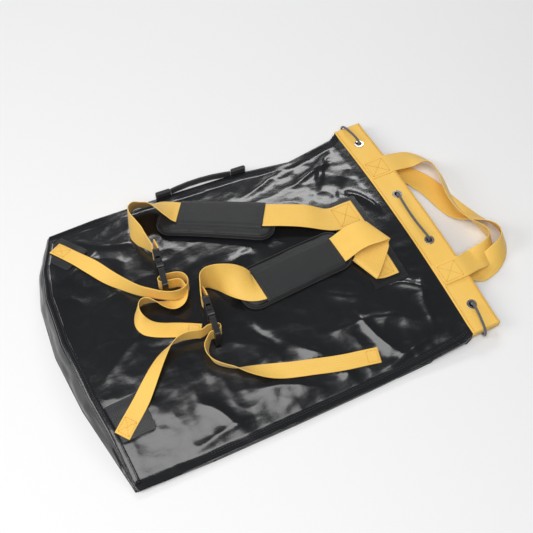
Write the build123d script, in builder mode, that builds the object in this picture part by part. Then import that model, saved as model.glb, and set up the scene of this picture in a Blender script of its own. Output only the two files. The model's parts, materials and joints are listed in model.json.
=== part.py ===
from build123d import *
from math import atan2, cos, degrees, radians, sin, sqrt, tan
import os

# Tarpaulin kit bag with a backpack harness, lying empty and flat with its harness side up.
# Millimetres. X runs from the folded base to the mouth, Y across the bag, Z up from the floor.

# ---- driving dimensions: bag ----
mouth_x = 300.0            # open end of the bag
bag_length = 650.0         # base edge to mouth
half_width = 236.0         # nominal half width at the seams
sheet = 1.2                # tarpaulin thickness
seam_allowance = 16.0      # flat margin outside the stitch line
crown = 45.0               # height of the top panel at its middle
base_lean = 26.0           # slope of the folded base, degrees from vertical
base_seam_width = 12.0
skin_gap = 0.15            # between sheets that lie on each other

# ---- mouth ----
band_width = 50.0
band_thickness = 1.6
mouth_half_width = 229.0
mouth_low_edge, mouth_low_middle = 7.0, 16.0
mouth_high_edge, mouth_high_middle = 18.8, 31.8
band_fit = 0.2             # band to tarpaulin
eyelet_y = (-183.0, -52.0, 52.0, 183.0)
eyelet_bore = 4.8
eyelet_barrel = 5.5
eyelet_flange = 8.3
eyelet_flange_thickness = 0.9
washer_radius = 7.8
washer_thickness = 0.7
cord_radius = 2.0
cord_clearance = 0.35
knot_radius = 4.6

# ---- cord lock ----
lock_center = (240.0, 0.0, 7.6)
lock_radius = 6.5
lock_length = 24.0
plunger_radius = 4.6
plunger_travel = 3.0
plunger_clearance = 0.3
spring_wire = 0.4
spring_space = 3.8          # plunger to the bottom of the bore

# ---- webbing and pads ----
strap_width = 50.0
strap_thickness = 1.6
narrow_width = 25.0
narrow_thickness = 1.4
handle_width = 39.0
handle_stub_length = 46.0
patch_thickness = 1.2
pad_length = 196.0
pad_width = 72.0
pad_thickness = 12.0
pad_lift = 0.8
pad_wall = 1.0
binding_thickness = 1.4
sleeve_length = 143.0
sleeve_width = 60.0
sleeve_wall = 1.0
sleeve_hem = 4.0

# ---- buckle: lengths run from the shoulder end, heights across the webbing ----
socket_length = 38.0
plug_length = 34.0
buckle_gap = 0.4
buckle_height = 36.0
socket_thickness = 11.0
plug_thickness = 9.0
cavity_thickness = 7.0
cavity_height = 30.0
arm_thickness = 6.2
arm_root = (39.6, 11.0)
arm_root_radius = 2.3
arm_clearance = 0.3
bar_depth = 4.0
bar_thickness = 5.0
slot_height = 27.4
window = (17.0, 29.0)
inner_slot = (47.0, 52.0)
outer_slot = (58.5, 63.5)

base_x = mouth_x - bag_length

# ---- bag surface ----
# Each station of the top panel: distance from the mouth, near seam, far seam, seam height, crown height.
top_stations = [
    (0.0, -mouth_half_width + 1.8, mouth_half_width - 1.8, 17.0, 30.0),
    (band_width, -mouth_half_width + 1.8, mouth_half_width - 1.8, 17.0, 30.0),
    (band_width + 14, -half_width + 3, half_width - 17, 14.5, 31.2),
    (150, -half_width, half_width - 24, 8.0, crown - 7),
    (240, -half_width - 1, half_width - 6, 6.0, crown - 2),
    (360, -half_width - 1, half_width + 3, 6.0, crown),
    (500, -half_width + 1, half_width + 11, 6.0, crown - 2),
    (bag_length - 50, -half_width + 4, half_width + 19, 6.0, crown - 8),
    (bag_length + 2, -half_width + 6, half_width + 19, 6.0, crown - 14),
]
# Each station of the bottom panel where it lifts off the floor: distance, near, far, seam height, middle height.
rise_stations = [
    (240, -half_width - 1, half_width - 6, 0.0, 0.2),
    (150, -half_width, half_width - 24, 2.6, 15.0),
    (band_width + 14, -half_width + 3, half_width - 17, 7.0, 17.8),
    (band_width, -mouth_half_width + 1.8, mouth_half_width - 1.8, 8.8, 17.8),
    (0.0, -mouth_half_width + 1.8, mouth_half_width - 1.8, 8.8, 17.8),
]


def arc_height(y, low_y, high_y, edge_z, middle_z):
    """Height at y of the circle through both ends and the middle."""
    half = (high_y - low_y) / 2
    rise = middle_z - edge_z
    radius = (half * half + rise * rise) / (2 * rise)
    offset = min(abs(y - (low_y + high_y) / 2), half)
    return middle_z - radius + sqrt(radius * radius - offset * offset)


def bag_top(x, y):
    """Height of the top panel's outer surface."""
    distance = min(max(mouth_x - x, 0.0), top_stations[-1][0])
    for first, second in zip(top_stations, top_stations[1:]):
        if distance <= second[0]:
            break
    share = (distance - first[0]) / (second[0] - first[0])
    near, far, edge, middle = (a + (b - a) * share for a, b in zip(first[1:], second[1:]))
    return arc_height(y, near + seam_allowance, far - seam_allowance, edge, middle)


def panel_section(x, near, far, edge, middle, low, high):
    """Sketch one cross-section of a layer that follows a panel, between two lifts."""
    inner_near, inner_far = near + seam_allowance, far - seam_allowance
    center = (near + far) / 2
    with BuildSketch(Plane.YZ.offset(x)) as section:
        with BuildLine():
            Line((near, edge + high), (inner_near, edge + high))
            ThreePointArc((inner_near, edge + high), (center, middle + high), (inner_far, edge + high))
            Line((inner_far, edge + high), (far, edge + high))
            Line((far, edge + high), (far, edge + low))
            Line((far, edge + low), (inner_far, edge + low))
            ThreePointArc((inner_far, edge + low), (center, middle + low), (inner_near, edge + low))
            Line((inner_near, edge + low), (near, edge + low))
            Line((near, edge + low), (near, edge + high))
        make_face()
    return section.sketch


def draw_panel(stations, low, high, mode=Mode.ADD):
    """Loft the layer between two lifts above a panel's stations."""
    sections = [panel_section(mouth_x - station[0], *station[1:], low, high) for station in stations]
    loft(sections, ruled=True, mode=mode)


def draw_layer(low, high, mode=Mode.ADD):
    """Loft the layer between two lifts above the top panel's outer surface."""
    draw_panel(top_stations, low, high, mode)


def plan_outline(inset):
    """Sketch the bag's plan outline at the floor; only its base end is drawn to size."""
    wide = half_width + 60
    with BuildSketch(Plane.XY) as outline:
        with BuildLine():
            Polyline(
                (mouth_x + 80, -wide), (mouth_x + 80, wide), (base_x + 94 + inset, wide),
                (base_x + 28 + inset, 182), (base_x + 10 + inset, 122), (base_x + 1 + inset, 28),
                (base_x + 7 + inset, -75), (base_x + 42 + inset, -wide), close=True)
        make_face()
        fillet(outline.vertices().sort_by(Axis.X)[0:4], 45)
    return outline.sketch


def draw_leaning_block(inset, height, mode=Mode.ADD):
    """Extrude the plan outline with the base's lean."""
    extrude(plan_outline(inset), amount=height, taper=base_lean, mode=mode)


def draw_box(low, high, mode=Mode.ADD):
    """Add a box given by two opposite corners."""
    center = tuple((a + b) / 2 for a, b in zip(low, high))
    with Locations(center):
        Box(*(b - a for a, b in zip(low, high)), mode=mode)


def mouth_height(y, top):
    """Outer surface height of the mouth band."""
    half = mouth_half_width - band_thickness - band_fit - seam_allowance
    if top:
        return arc_height(y, -half, half, mouth_high_edge, mouth_high_middle)
    return arc_height(y, -half, half, mouth_low_edge, mouth_low_middle)


def mouth_plane(x, y, top):
    """Plane on the band's outer surface whose normal points away from the bag."""
    slope = mouth_height(y + 1, top) - mouth_height(y - 1, top)
    normal = (0, -slope / 2, 1) if top else (0, slope / 2, -1)
    return Plane(origin=(x, y, mouth_height(y, top)), x_dir=(1, 0, 0), z_dir=normal)


eyelet_x = mouth_x - band_width / 2
eyelet_planes = [mouth_plane(eyelet_x, y, top) for top in (True, False) for y in eyelet_y]
layer_depth = band_thickness + band_fit + sheet


def cut_eyelet_holes(radius):
    """Cut one clearance hole per eyelet through both layers of the mouth."""
    for plane in eyelet_planes:
        with BuildSketch(plane.offset(-layer_depth - 0.6)) as hole:
            Circle(radius)
        extrude(hole.sketch, amount=layer_depth + 1.2, mode=Mode.SUBTRACT)


# ---- bag body ----
with BuildPart() as upper_panel:
    draw_layer(-sheet, 0)
    draw_leaning_block(0, 60, Mode.INTERSECT)
    cut_eyelet_holes(eyelet_barrel + 0.1)

with BuildPart() as lower_panel:
    draw_panel(rise_stations, 0, sheet)
    rise_x = mouth_x - rise_stations[0][0]
    with BuildSketch(Plane.XY):
        with BuildLine():
            floor_stations = [s for s in top_stations if mouth_x - s[0] <= rise_x]
            near_side = [(mouth_x - s[0], s[1]) for s in reversed(floor_stations)]
            far_side = [(mouth_x - s[0], s[2]) for s in floor_stations]
            Polyline(*near_side, *far_side, close=True)
        make_face()
    extrude(amount=sheet)
    draw_leaning_block(0, 60, Mode.INTERSECT)
    cut_eyelet_holes(eyelet_barrel + 0.1)

with BuildPart() as base_panel:
    draw_leaning_block(0.1, 60)
    draw_leaning_block(0.1 + sheet / cos(radians(base_lean)), 60, Mode.SUBTRACT)
    draw_layer(-80, -sheet - skin_gap, Mode.INTERSECT)
    draw_box((base_x - 10, -half_width - 20, sheet + skin_gap),
             (base_x + 70, half_width + 40, 60), Mode.INTERSECT)

with BuildPart() as base_seam:
    draw_layer(skin_gap, skin_gap + 1.0)
    draw_leaning_block(0, 60, Mode.INTERSECT)
    draw_leaning_block(base_seam_width, 60, Mode.SUBTRACT)
    draw_box((base_x - 10, -half_width + 30, 0), (base_x + 90, half_width - 40, 60), Mode.INTERSECT)

seam_parts = {}
for side, column, sign in (("near", 1, 1), ("far", 2, -1)):
    with BuildPart() as seam:
        for lower, upper in zip(rise_stations[:3], (top_stations[4], top_stations[3], top_stations[2])):
            outer = lower[column]
            with BuildSketch(Plane.YZ.offset(mouth_x - lower[0])):
                with Locations((outer, lower[3] + sheet + skin_gap)):
                    Rectangle(seam_allowance - 1, upper[3] - lower[3] - 2 * sheet - 2 * skin_gap,
                              align=(Align.MIN if sign > 0 else Align.MAX, Align.MIN))
        loft(ruled=True)
        for station in top_stations[4:-1]:
            with BuildSketch(Plane.YZ.offset(mouth_x - station[0])):
                with Locations((station[column], sheet + skin_gap)):
                    Rectangle(seam_allowance - 1, station[3] - 2 * sheet - 2 * skin_gap,
                              align=(Align.MIN if sign > 0 else Align.MAX, Align.MIN))
        loft(ruled=True)
        draw_leaning_block(3.0, 60, Mode.INTERSECT)
    seam_parts[side] = seam

# ---- mouth band and eyelets ----


def mouth_loop(inset):
    """Sketch the mouth's cross-section, inset from the band's outer surface."""
    edge_y = mouth_half_width - inset
    arc_y = mouth_half_width - band_thickness - band_fit - seam_allowance
    low_edge, low_middle = mouth_low_edge + inset, mouth_low_middle + inset
    high_edge, high_middle = mouth_high_edge - inset, mouth_high_middle - inset
    with BuildSketch(Plane.YZ.offset(mouth_x - band_width)) as section:
        with BuildLine():
            Line((-edge_y, low_edge), (-arc_y, low_edge))
            ThreePointArc((-arc_y, low_edge), (0, low_middle), (arc_y, low_edge))
            Line((arc_y, low_edge), (edge_y, low_edge))
            Line((edge_y, low_edge), (edge_y, high_edge))
            Line((edge_y, high_edge), (arc_y, high_edge))
            ThreePointArc((arc_y, high_edge), (0, high_middle), (-arc_y, high_edge))
            Line((-arc_y, high_edge), (-edge_y, high_edge))
            Line((-edge_y, high_edge), (-edge_y, low_edge))
        make_face()
    return section.sketch


with BuildPart() as mouth_band:
    extrude(mouth_loop(0), amount=band_width)
    extrude(mouth_loop(band_thickness), amount=band_width, mode=Mode.SUBTRACT)
    cut_eyelet_holes(eyelet_barrel + 0.1)

with BuildPart() as eyelets:
    for plane in eyelet_planes:
        with BuildSketch(plane.offset(0.05)):
            Circle(eyelet_flange)
            Circle(eyelet_bore, mode=Mode.SUBTRACT)
        extrude(amount=eyelet_flange_thickness)
        with BuildSketch(plane.offset(0.05)):
            Circle(eyelet_barrel)
            Circle(eyelet_bore, mode=Mode.SUBTRACT)
        extrude(amount=-layer_depth - washer_thickness - 0.3)
    fillet(eyelets.edges().filter_by(GeomType.CIRCLE).filter_by(
        lambda e: abs(e.radius - eyelet_flange) < 0.01), 0.4)

with BuildPart() as eyelet_washers:
    for plane in eyelet_planes:
        with BuildSketch(plane.offset(-layer_depth - 0.1)) as ring:
            Circle(washer_radius)
            Circle(eyelet_barrel + 0.05, mode=Mode.SUBTRACT)
        extrude(amount=-washer_thickness)

# ---- drawcord, threaded through the eyelets; its tails pass the cord lock under the mouth ----
cord_route = [
    (176, 2.6, 7.6), (196, 2.4, 7.6), (214, 2.3, 7.6), (233, 2.3, 7.6), (250, 2.4, 7.6),
    (261, 6, 7.4), (269, 16, 7.0), (273, 30, 6.6), (275, 44, 7.0), (275.6, 51, 10.5),
    (275, 52.4, 16.5), (273, 56, 21.4), (269, 68, 20.6), (266, 90, 19.8), (265, 117, 18.6),
    (266, 144, 17.6), (267, 165, 16.2), (270, 177, 15.4), (274.6, 182.6, 12.0), (275, 186, 5.8),
    (274, 198, 4.2), (272, 214, 4.6), (270, 227, 4.3), (269, 235.5, 8.0), (269, 235, 17.5),
    (270, 227, 24.0), (272, 213, 26.6), (274, 199, 28.4), (275, 187, 28.0), (275.6, 183, 22.4),
    (280, 177, 16.6), (283, 165, 17.8), (284, 144, 19.8), (285, 117, 21.6), (284, 90, 22.8),
    (281, 68, 23.6), (277, 55, 23.4), (275.4, 51.4, 28.6), (274.6, 48, 36.4), (273.4, 36, 36.8),
]


def mirror_route(route):
    """The same route on the other side of the bag."""
    return [(x, -y, z) for x, y, z in reversed(route)]


full_route = cord_route + [(272.4, 13, 35.6), (272.4, -12, 35.4)] + mirror_route(cord_route)


def corner_radii(route):
    """Arc radius of each corner: as large as its two runs allow."""
    radii = []
    for before, corner, after in zip(route, route[1:], route[2:]):
        first = Vector(*corner) - Vector(*before)
        second = Vector(*after) - Vector(*corner)
        turn = radians(first.get_angle(second))
        radii.append(0.45 * min(first.length, second.length) / tan(turn / 2))
    return radii


cord_radii = corner_radii(full_route)
print("cord radii, tightest:", [round(r, 1) for r in sorted(cord_radii)[:8]])
with BuildPart() as drawcord:
    with BuildLine():
        cord_path = FilletPolyline(*full_route, radius=cord_radii)
    with BuildSketch(cord_path ^ 0):
        Circle(cord_radius)
    sweep()
cord_length = cord_path.length
print("cord length", round(cord_length), "volume share",
      round(drawcord.part.volume / (cord_length * 3.14159 * cord_radius ** 2), 4))

with BuildPart() as cord_end_knots:
    for tail in (full_route[0], full_route[-1]):
        with BuildSketch(Plane.YZ.offset(tail[0] - 0.1)):
            with Locations((tail[1] * 2.2, tail[2])):
                RegularPolygon(knot_radius, 12)
        extrude(amount=-1.8 * knot_radius)
    chamfer(cord_end_knots.edges().filter_by(Plane.YZ), 0.3 * knot_radius)

# ---- cord lock ----
lock_x, lock_y, lock_z = lock_center
cord_slot = (4.6 + 2 * cord_radius + 2 * cord_clearance, 2 * cord_radius + 2 * cord_clearance)
with BuildPart() as cord_lock_barrel:
    with BuildSketch(Plane.XZ.offset(lock_length / 2)):
        with Locations((lock_x, lock_z)):
            Circle(lock_radius)
    extrude(amount=-lock_length)
    fillet(cord_lock_barrel.edges(), 1.0)
    with BuildSketch(Plane.XZ.offset(lock_length / 2)):
        with Locations((lock_x, lock_z)):
            Circle(plunger_radius + plunger_clearance)
    extrude(amount=-lock_length + 1.6, mode=Mode.SUBTRACT)
    with BuildSketch(Plane.YZ.offset(lock_x - lock_radius - 1)):
        with Locations((lock_y, lock_z)):
            SlotOverall(*cord_slot)
    extrude(amount=2 * lock_radius + 2, mode=Mode.SUBTRACT)

plunger_end = lock_y + lock_length / 2 - 1.6 - spring_space
with BuildPart() as cord_lock_plunger:
    with BuildSketch(Plane.XZ.offset(lock_length / 2 + plunger_travel + 2 - lock_y)):
        with Locations((lock_x, lock_z)):
            Circle(plunger_radius)
    extrude(amount=-(lock_length / 2 + plunger_travel + 2 + plunger_end))
    with BuildSketch(Plane.YZ.offset(lock_x - lock_radius - 1)):
        with Locations((lock_y - plunger_travel / 2, lock_z)):
            SlotOverall(cord_slot[0] + plunger_travel, cord_slot[1])
    extrude(amount=2 * lock_radius + 2, mode=Mode.SUBTRACT)

with BuildPart() as cord_lock_spring:
    with BuildLine():
        coil = Helix(pitch=1.0, height=spring_space - 2 * spring_wire, radius=plunger_radius - 1.0,
                     center=(lock_x, plunger_end + spring_wire, lock_z), direction=(0, 1, 0))
    with BuildSketch(coil ^ 0):
        Circle(spring_wire / 2)
    sweep(is_frenet=True)

# ---- straps ----
# A station is x, y, lift, lean, then optionally its heading, width and thickness. Lift is above the bag,
# or above the floor. Lean turns the strap's left edge up; heading is that of the left edge.


def lay_strap(route, width, thickness, on_bag=True):
    """Place a strap's stations: centre, vector across, width and thickness."""
    stations = []
    for index, (x, y, lift, lean, *rest) in enumerate(route):
        before, after = route[max(index - 1, 0)], route[min(index + 1, len(route) - 1)]
        heading = atan2(after[1] - before[1], after[0] - before[0]) + radians(90)
        if rest and rest[0] is not None:
            heading = radians(rest[0])
        wide, thick = rest[1:] if len(rest) > 1 else (width, thickness)
        across_x, across_y = cos(heading), sin(heading)
        slope = 0.0
        if on_bag and abs(lean) < 60:
            reach = 15.0
            slope = degrees(atan2(bag_top(x + reach * across_x, y + reach * across_y)
                                  - bag_top(x - reach * across_x, y - reach * across_y), 2 * reach))
        lean = radians(lean + slope)
        across = Vector(cos(lean) * across_x, cos(lean) * across_y, sin(lean))
        height = lift + (bag_top(x, y) if on_bag else 0)
        for share in (-0.5, 0, 0.5):
            edge = across * (wide * share)
            support = bag_top(x + edge.X, y + edge.Y) if on_bag else 0
            height = max(height, support + thick / 2 + 0.5 - edge.Z)
        stations.append((Vector(x, y, height), across, wide, thick))
    return stations


def draw_strap(stations):
    """Loft a strap through its placed stations."""
    sections = []
    for index, (center, across, wide, thick) in enumerate(stations):
        before, after = stations[max(index - 1, 0)][0], stations[min(index + 1, len(stations) - 1)][0]
        along = after - before
        along = (along - across * along.dot(across)).normalized()
        with BuildSketch(Plane(origin=center, x_dir=across, z_dir=along)) as section:
            Rectangle(wide, thick)
        sections.append(section.sketch)
    loft(sections, ruled=True)


def strap_length(stations):
    """Length of a strap's middle line."""
    return sum((b[0] - a[0]).length for a, b in zip(stations, stations[1:]))


def volume_share(built, stations):
    """Volume of a strap against its length times its section."""
    swept = sum((b[0] - a[0]).length * a[2] * a[3] for a, b in zip(stations, stations[1:]))
    return round(built.part.volume / swept, 2)


# ---- buckles ----
far_buckle = ((-143.0, 100.0), (-13.0, -73.0))       # shoulder end, direction
near_buckle = ((-109.0, -14.0), (-10.0, -72.0))
buckle_rest = 0.6          # lower edge above the bag


def buckle_plane(place):
    """Plane of a buckle that stands on edge: X along it, Y up, Z out of its west face."""
    (x, y), (dx, dy) = place
    along = Vector(dx, dy, 0).normalized()
    side = along.cross(Vector(0, 0, 1)) * (socket_thickness / 2)
    length = socket_length + buckle_gap + plug_length
    footprint = [Vector(x, y, 0) + along * (length * share) + side * sign
                 for share in (0, 0.25, 0.5, 0.75, 1) for sign in (-1, 1)]
    height = max(bag_top(point.X, point.Y) for point in footprint) + buckle_height / 2 + buckle_rest
    return Plane(origin=(x, y, height), x_dir=along, z_dir=along.cross(Vector(0, 0, 1)))


def through_cut(plane, low, high, width, depth, mode=Mode.SUBTRACT):
    """Cut or add a block from low to high along the buckle, centred on its plane."""
    with BuildSketch(plane.offset(-depth / 2)) as outline:
        with Locations(((low + high) / 2, 0)):
            Rectangle(high - low, width)
    extrude(outline.sketch, amount=depth, mode=mode)


def draw_socket(plane):
    """The half that the shoulder webbing holds."""
    with BuildSketch(plane.offset(-socket_thickness / 2)) as outline:
        with Locations((socket_length / 2, 0)):
            RectangleRounded(socket_length, buckle_height, 5)
    extrude(outline.sketch, amount=socket_thickness)
    through_cut(plane, bar_depth, bar_depth + 6, slot_height, socket_thickness)
    for offset in (bar_thickness / 2, -socket_thickness / 2):
        with BuildSketch(plane.offset(offset)) as relief:
            with Locations((bar_depth / 2, 0)):
                Rectangle(bar_depth + 0.02, slot_height)
        extrude(relief.sketch, amount=(socket_thickness - bar_thickness) / 2, mode=Mode.SUBTRACT)
    through_cut(plane, 13, socket_length + 1, cavity_height, cavity_thickness)
    through_cut(plane, window[0], window[1], buckle_height + 2, cavity_thickness)


def draw_plug(plane):
    """The half with the ladder lock and the guide tongue."""
    start = socket_length + buckle_gap
    with BuildSketch(plane.offset(-plug_thickness / 2)) as outline:
        with Locations((start + plug_length / 2, 0)):
            RectangleRounded(plug_length, buckle_height, 3)
    extrude(outline.sketch, amount=plug_thickness)
    through_cut(plane, 22, start + 1, 6, 4, Mode.ADD)
    for slot in (inner_slot, outer_slot):
        through_cut(plane, slot[0], slot[1], slot_height, plug_thickness)
    with BuildSketch(plane.offset(-plug_thickness / 2)) as pockets:
        with Locations((arm_root[0], arm_root[1]), (arm_root[0], -arm_root[1])):
            Circle(arm_root_radius + arm_clearance)
    extrude(pockets.sketch, amount=plug_thickness, mode=Mode.SUBTRACT)


def draw_arm(plane, side):
    """One sprung release arm; side is 1 for the upper arm and -1 for the lower."""
    root_x, root_y = arm_root
    with BuildSketch(plane.offset(-arm_thickness / 2)) as outline:
        with BuildLine():
            Polyline(
                (root_x, side * (root_y - 1.8)), (19, side * 8.2), (17.8, side * 9.5),
                (18.4, side * 14.5), (20, side * 17.2), (27.2, side * 17.2),
                (28.2, side * 13.2), (root_x, side * (root_y + 1.8)), close=True)
        make_face()
        with Locations((root_x, side * root_y)):
            Circle(arm_root_radius)
    extrude(outline.sketch, amount=arm_thickness)


buckles = {"far": buckle_plane(far_buckle), "near": buckle_plane(near_buckle)}
buckle_parts = {}
for side, plane in buckles.items():
    with BuildPart() as socket:
        draw_socket(plane)
    with BuildPart() as plug:
        draw_plug(plane)
    with BuildPart() as upper_arm:
        draw_arm(plane, 1)
    with BuildPart() as lower_arm:
        draw_arm(plane, -1)
    buckle_parts[f"{side}_buckle_socket"] = socket
    buckle_parts[f"{side}_buckle_plug"] = plug
    buckle_parts[f"{side}_release_arm_upper"] = upper_arm
    buckle_parts[f"{side}_release_arm_lower"] = lower_arm
    root = plane.from_local_coords((arm_root[0], arm_root[1], 0))
    low_root = plane.from_local_coords((arm_root[0], -arm_root[1], 0))
    print(side, "arm pivots", root, low_root, "axis", plane.z_dir)


def in_buckle(plane, points, wide, thick):
    """Stations of a strap that stands on edge in the buckle, from points along it and out of its west face."""
    placed = [plane.from_local_coords((along, 0, out)) for along, out in points]
    return [(point, Vector(0, 0, -1), wide, thick) for point in placed]


bar_loop = [(-11, 3.4), (-4, 4.6), (2, 5.0), (5.6, 3.8), (7.2, 0), (5.6, -3.8), (2, -5.0),
            (-4, -4.6), (-11, -3.6), (-20, -1.6)]
ladder_loop = [(49.2, 9.4), (49.4, 4.0), (49.6, -2.0), (50.8, -6.4), (53.6, -8.6), (57.0, -8.6),
               (59.8, -6.4), (61.0, -2.0), (61.2, 4.0), (61.6, 9.4)]


def ladder_points(side):
    """The strap's way through both slots; side is 1 where it arrives at the west face."""
    return [(along, side * out) for along, out in ladder_loop]


# ---- shoulder webbing ----
pad_strap_lift = pad_lift + pad_thickness + 0.7 + strap_thickness / 2
far_shoulder_route = [
    (196, 49, 2.9, 0, 270), (176, 49, 2.9, 0, 270), (158, 48.5, 2.9, 0, 268), (143, 51, 5, 0, 262),
    (129, 57, 9, 0, 253), (114, 65, 13.4, 0, 245), (98, 74, 15.2, 0, 238), (74, 87, 15.0, 0, 237.3),
    (48, 101, pad_strap_lift, 0, 237.3), (18, 120.2, pad_strap_lift, 0, 237.3),
    (-12, 139.5, pad_strap_lift, 0, 237.3), (-42, 158.8, pad_strap_lift, 0, 237.3),
    (-72, 178, pad_strap_lift, 0, 237.3), (-86, 191, 21, 13, 236), (-99, 205, 26, 28, 240),
    (-113, 216, 25, 46, 256), (-128, 221, 27, 62, 280), (-142, 217, 27.5, 76, 310),
    (-151, 204, 27.5, 86, 340), (-155, 187, 27.5, 84), (-156, 169, 27, 76), (-152, 151, 24, 74, None, 44, 1.6),
    (-148, 137, 21, 80, None, 36, 1.8),
]
near_shoulder_route = [
    (197, -62, 2.9, 0, 270), (179, -62, 2.9, 0, 270), (164, -61.5, 2.9, 0, 280), (151, -60.5, 3.2, 0, 292),
    (147.2, -62, 6.6, 0, 292), (151, -60.5, 10.0, 0, 292), (161, -50, 12.5, 0, 305), (173, -38, 16.5, 0, 312),
    (183, -28, 22, 0, 308), (190, -20, 28.6, 0, 292), (193.6, -18.6, 32.4, 0, 292), (190, -20, 36.2, 0, 292),
    (177, -19, 38.0, 0, 279), (163, -17, 36.5, 0, 275), (149, -15.5, 30, 0, 273.6), (136, -15, 21, 0, 273.6),
    (121, -16, pad_strap_lift, 0, 273.6), (97, -17.5, pad_strap_lift, 0, 273.6),
    (73, -19, pad_strap_lift, 0, 273.6), (49.5, -20.5, pad_strap_lift, 0, 273.6),
    (26, -22, pad_strap_lift, 0, 273.6), (2, -23.5, pad_strap_lift, 0, 273.6),
    (-22, -25, pad_strap_lift, 0, 273.6), (-36, -21.5, 20, -10), (-48, -13.5, 25.5, -24),
    (-59, -4, 28, -42), (-70, 5.5, 28.5, -60), (-81, 14, 27, -72), (-93, 18.5, 27.2, -84), (-103, 15, 26, -90),
    (-107.5, 5.5, 23.5, -90, None, 40, 1.7),
]

# ---- lower webbing: anchor, run, ladder lock, free tail ----
far_lower_run = [
    (-281, 215, 2.6, 0), (-272, 200, 2.6, 0), (-262, 182, 2.8, 0), (-252, 163, 4, 5),
    (-240, 137, 7, 24), (-226, 104, 11, 46), (-211, 77, 14.5, 66),
    (-194, 52, 17, 80), (-178, 35, 20, 86), (-163, 21, 23, 90), (-148, 12.5, 24.5, 90),
    (-133, 12, 24, 90), (-123, 19, 21.5, 90), (-119, 30, 20, 90), (-122, 41, 19.4, 90), (-131, 47.5, 19.2, 90),
]
far_lower_tail = [
    (-131, 34, 18.6, 90), (-129, 25, 15, 76), (-133, 16.5, 9.6, 46), (-142, 11.5, 6.4, 18), (-153, 10.5, 6.2, 14),
    (-164, 14, 9, 36), (-174, 21, 12, 60), (-184, 28, 13.5, 76), (-195, 31, 14, 82), (-205, 26, 14, 78),
    (-211, 15, 13, 66), (-212, 3, 9.5, 44), (-207, -8, 5, 20), (-197, -16.5, 2.8, 5), (-184, -24, 2.4, 0),
    (-167, -32, 2.4, 0), (-150, -41, 2.6, 0), (-133, -51, 3.0, 0),
]
near_lower_run = [
    (-305, -149, 2.6, 0), (-291, -138, 2.6, 0), (-275, -126, 2.8, 0),
    (-258, -113, 4.6, -6), (-241, -98, 7.5, -20), (-224, -83, 10.5, -34),
    (-206, -69, 13.5, -50), (-188, -59, 16.5, -66), (-170, -55.5, 18.5, -82),
    (-153, -58, 19.2, -90), (-138, -62.5, 19.2, -90),
]
near_lower_tail = [
    (-134, -79, 18, -84), (-139.5, -86, 15.5, -78), (-141, -97, 14, -76), (-136.5, -109, 13.5, -76),
    (-126, -120, 13.2, -74), (-112, -130, 12.6, -68), (-96, -139, 10.6, -54), (-80, -146.5, 7.4, -34),
    (-63, -153, 4.4, -14), (-44, -159.5, 2.6, 0), (-24, -165.5, 2.4, 0), (0, -172, 2.4, 0), (25, -179, 2.4, 0),
    (50, -185, 2.4, 0), (76, -190, 2.4, 0), (101, -195, 2.4, 0),
]


def laid(route, width=narrow_width, thickness=narrow_thickness):
    """A strap's stations on the bag."""
    return lay_strap(route, width, thickness)


strap_stations = {
    "far_shoulder_webbing": laid(far_shoulder_route, strap_width, strap_thickness)
    + in_buckle(buckles["far"], bar_loop, narrow_width, 2.0),
    "near_shoulder_webbing": laid(near_shoulder_route, strap_width, strap_thickness)
    + in_buckle(buckles["near"], bar_loop, narrow_width, 2.0),
    "far_lower_webbing": laid(far_lower_run)
    + in_buckle(buckles["far"], ladder_points(-1), narrow_width, narrow_thickness) + laid(far_lower_tail),
    "near_lower_webbing": laid(near_lower_run)
    + in_buckle(buckles["near"], ladder_points(1), narrow_width, narrow_thickness) + laid(near_lower_tail),
}
strap_parts = {}
for name, stations in strap_stations.items():
    aligned = [stations[0]]
    for center, across, wide, thick in stations[1:]:
        if across.dot(aligned[-1][1]) < 0:
            across = across * -1
        aligned.append((center, across, wide, thick))
    with BuildPart() as strap:
        draw_strap(aligned)
    strap_parts[name] = strap
    print(name, "length", round(strap_length(aligned)), "volume share", volume_share(strap, aligned))

# ---- reinforcement patches: centre, size ----
patch_places = {
    "far_upper_patch": ((176, 49), (62, 70), 0),
    "near_upper_patch": ((179, -64), (62, 70), 0),
    "far_lower_patch": ((-271, 196), (52, 62), 30),
    "near_lower_patch": ((-285, -128), (60, 60), 0),
}
patch_parts = {}
for name, (center, size, turn) in patch_places.items():
    with BuildPart() as patch:
        draw_layer(skin_gap, skin_gap + patch_thickness)
        with BuildSketch(Plane.XY):
            with Locations(Location((*center, 0), turn)):
                RectangleRounded(*size, 4)
        extrude(amount=80, mode=Mode.INTERSECT)
        draw_leaning_block(base_seam_width + 0.5, 60, Mode.INTERSECT)
    patch_parts[name] = patch

# ---- shoulder pads: sleeve ends, and the pad's offset from the webbing ----
pad_places = {
    "far": ((48, 101), (-72, 178), -10.0),
    "near": ((121, -16), (-22, -25), 6.0),
}


def pad_plane(place):
    """Plane at the sleeve's mouth end: X along the pad towards the base."""
    (start_x, start_y), (end_x, end_y), offset = place
    along = Vector(end_x - start_x, end_y - start_y, 0).normalized()
    return Plane(origin=(start_x, start_y, 0), x_dir=along, z_dir=(0, 0, 1))


def pad_outline(place, grow):
    """Sketch the pad's rounded outline, grown outwards."""
    plane = pad_plane(place)
    sign = -1 if plane.x_dir.X < 0 else 1
    with BuildSketch(plane) as outline:
        with Locations((pad_length / 2 - 20, sign * place[2])):
            RectangleRounded(pad_length + 2 * grow, pad_width + 2 * grow, 24 + grow)
    return outline.sketch


def sleeve_outline(place, width):
    """Sketch the sleeve's rectangle, of a given width."""
    with BuildSketch(pad_plane(place)) as outline:
        with Locations((sleeve_length / 2, 0)):
            Rectangle(sleeve_length, width)
    return outline.sketch


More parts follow.
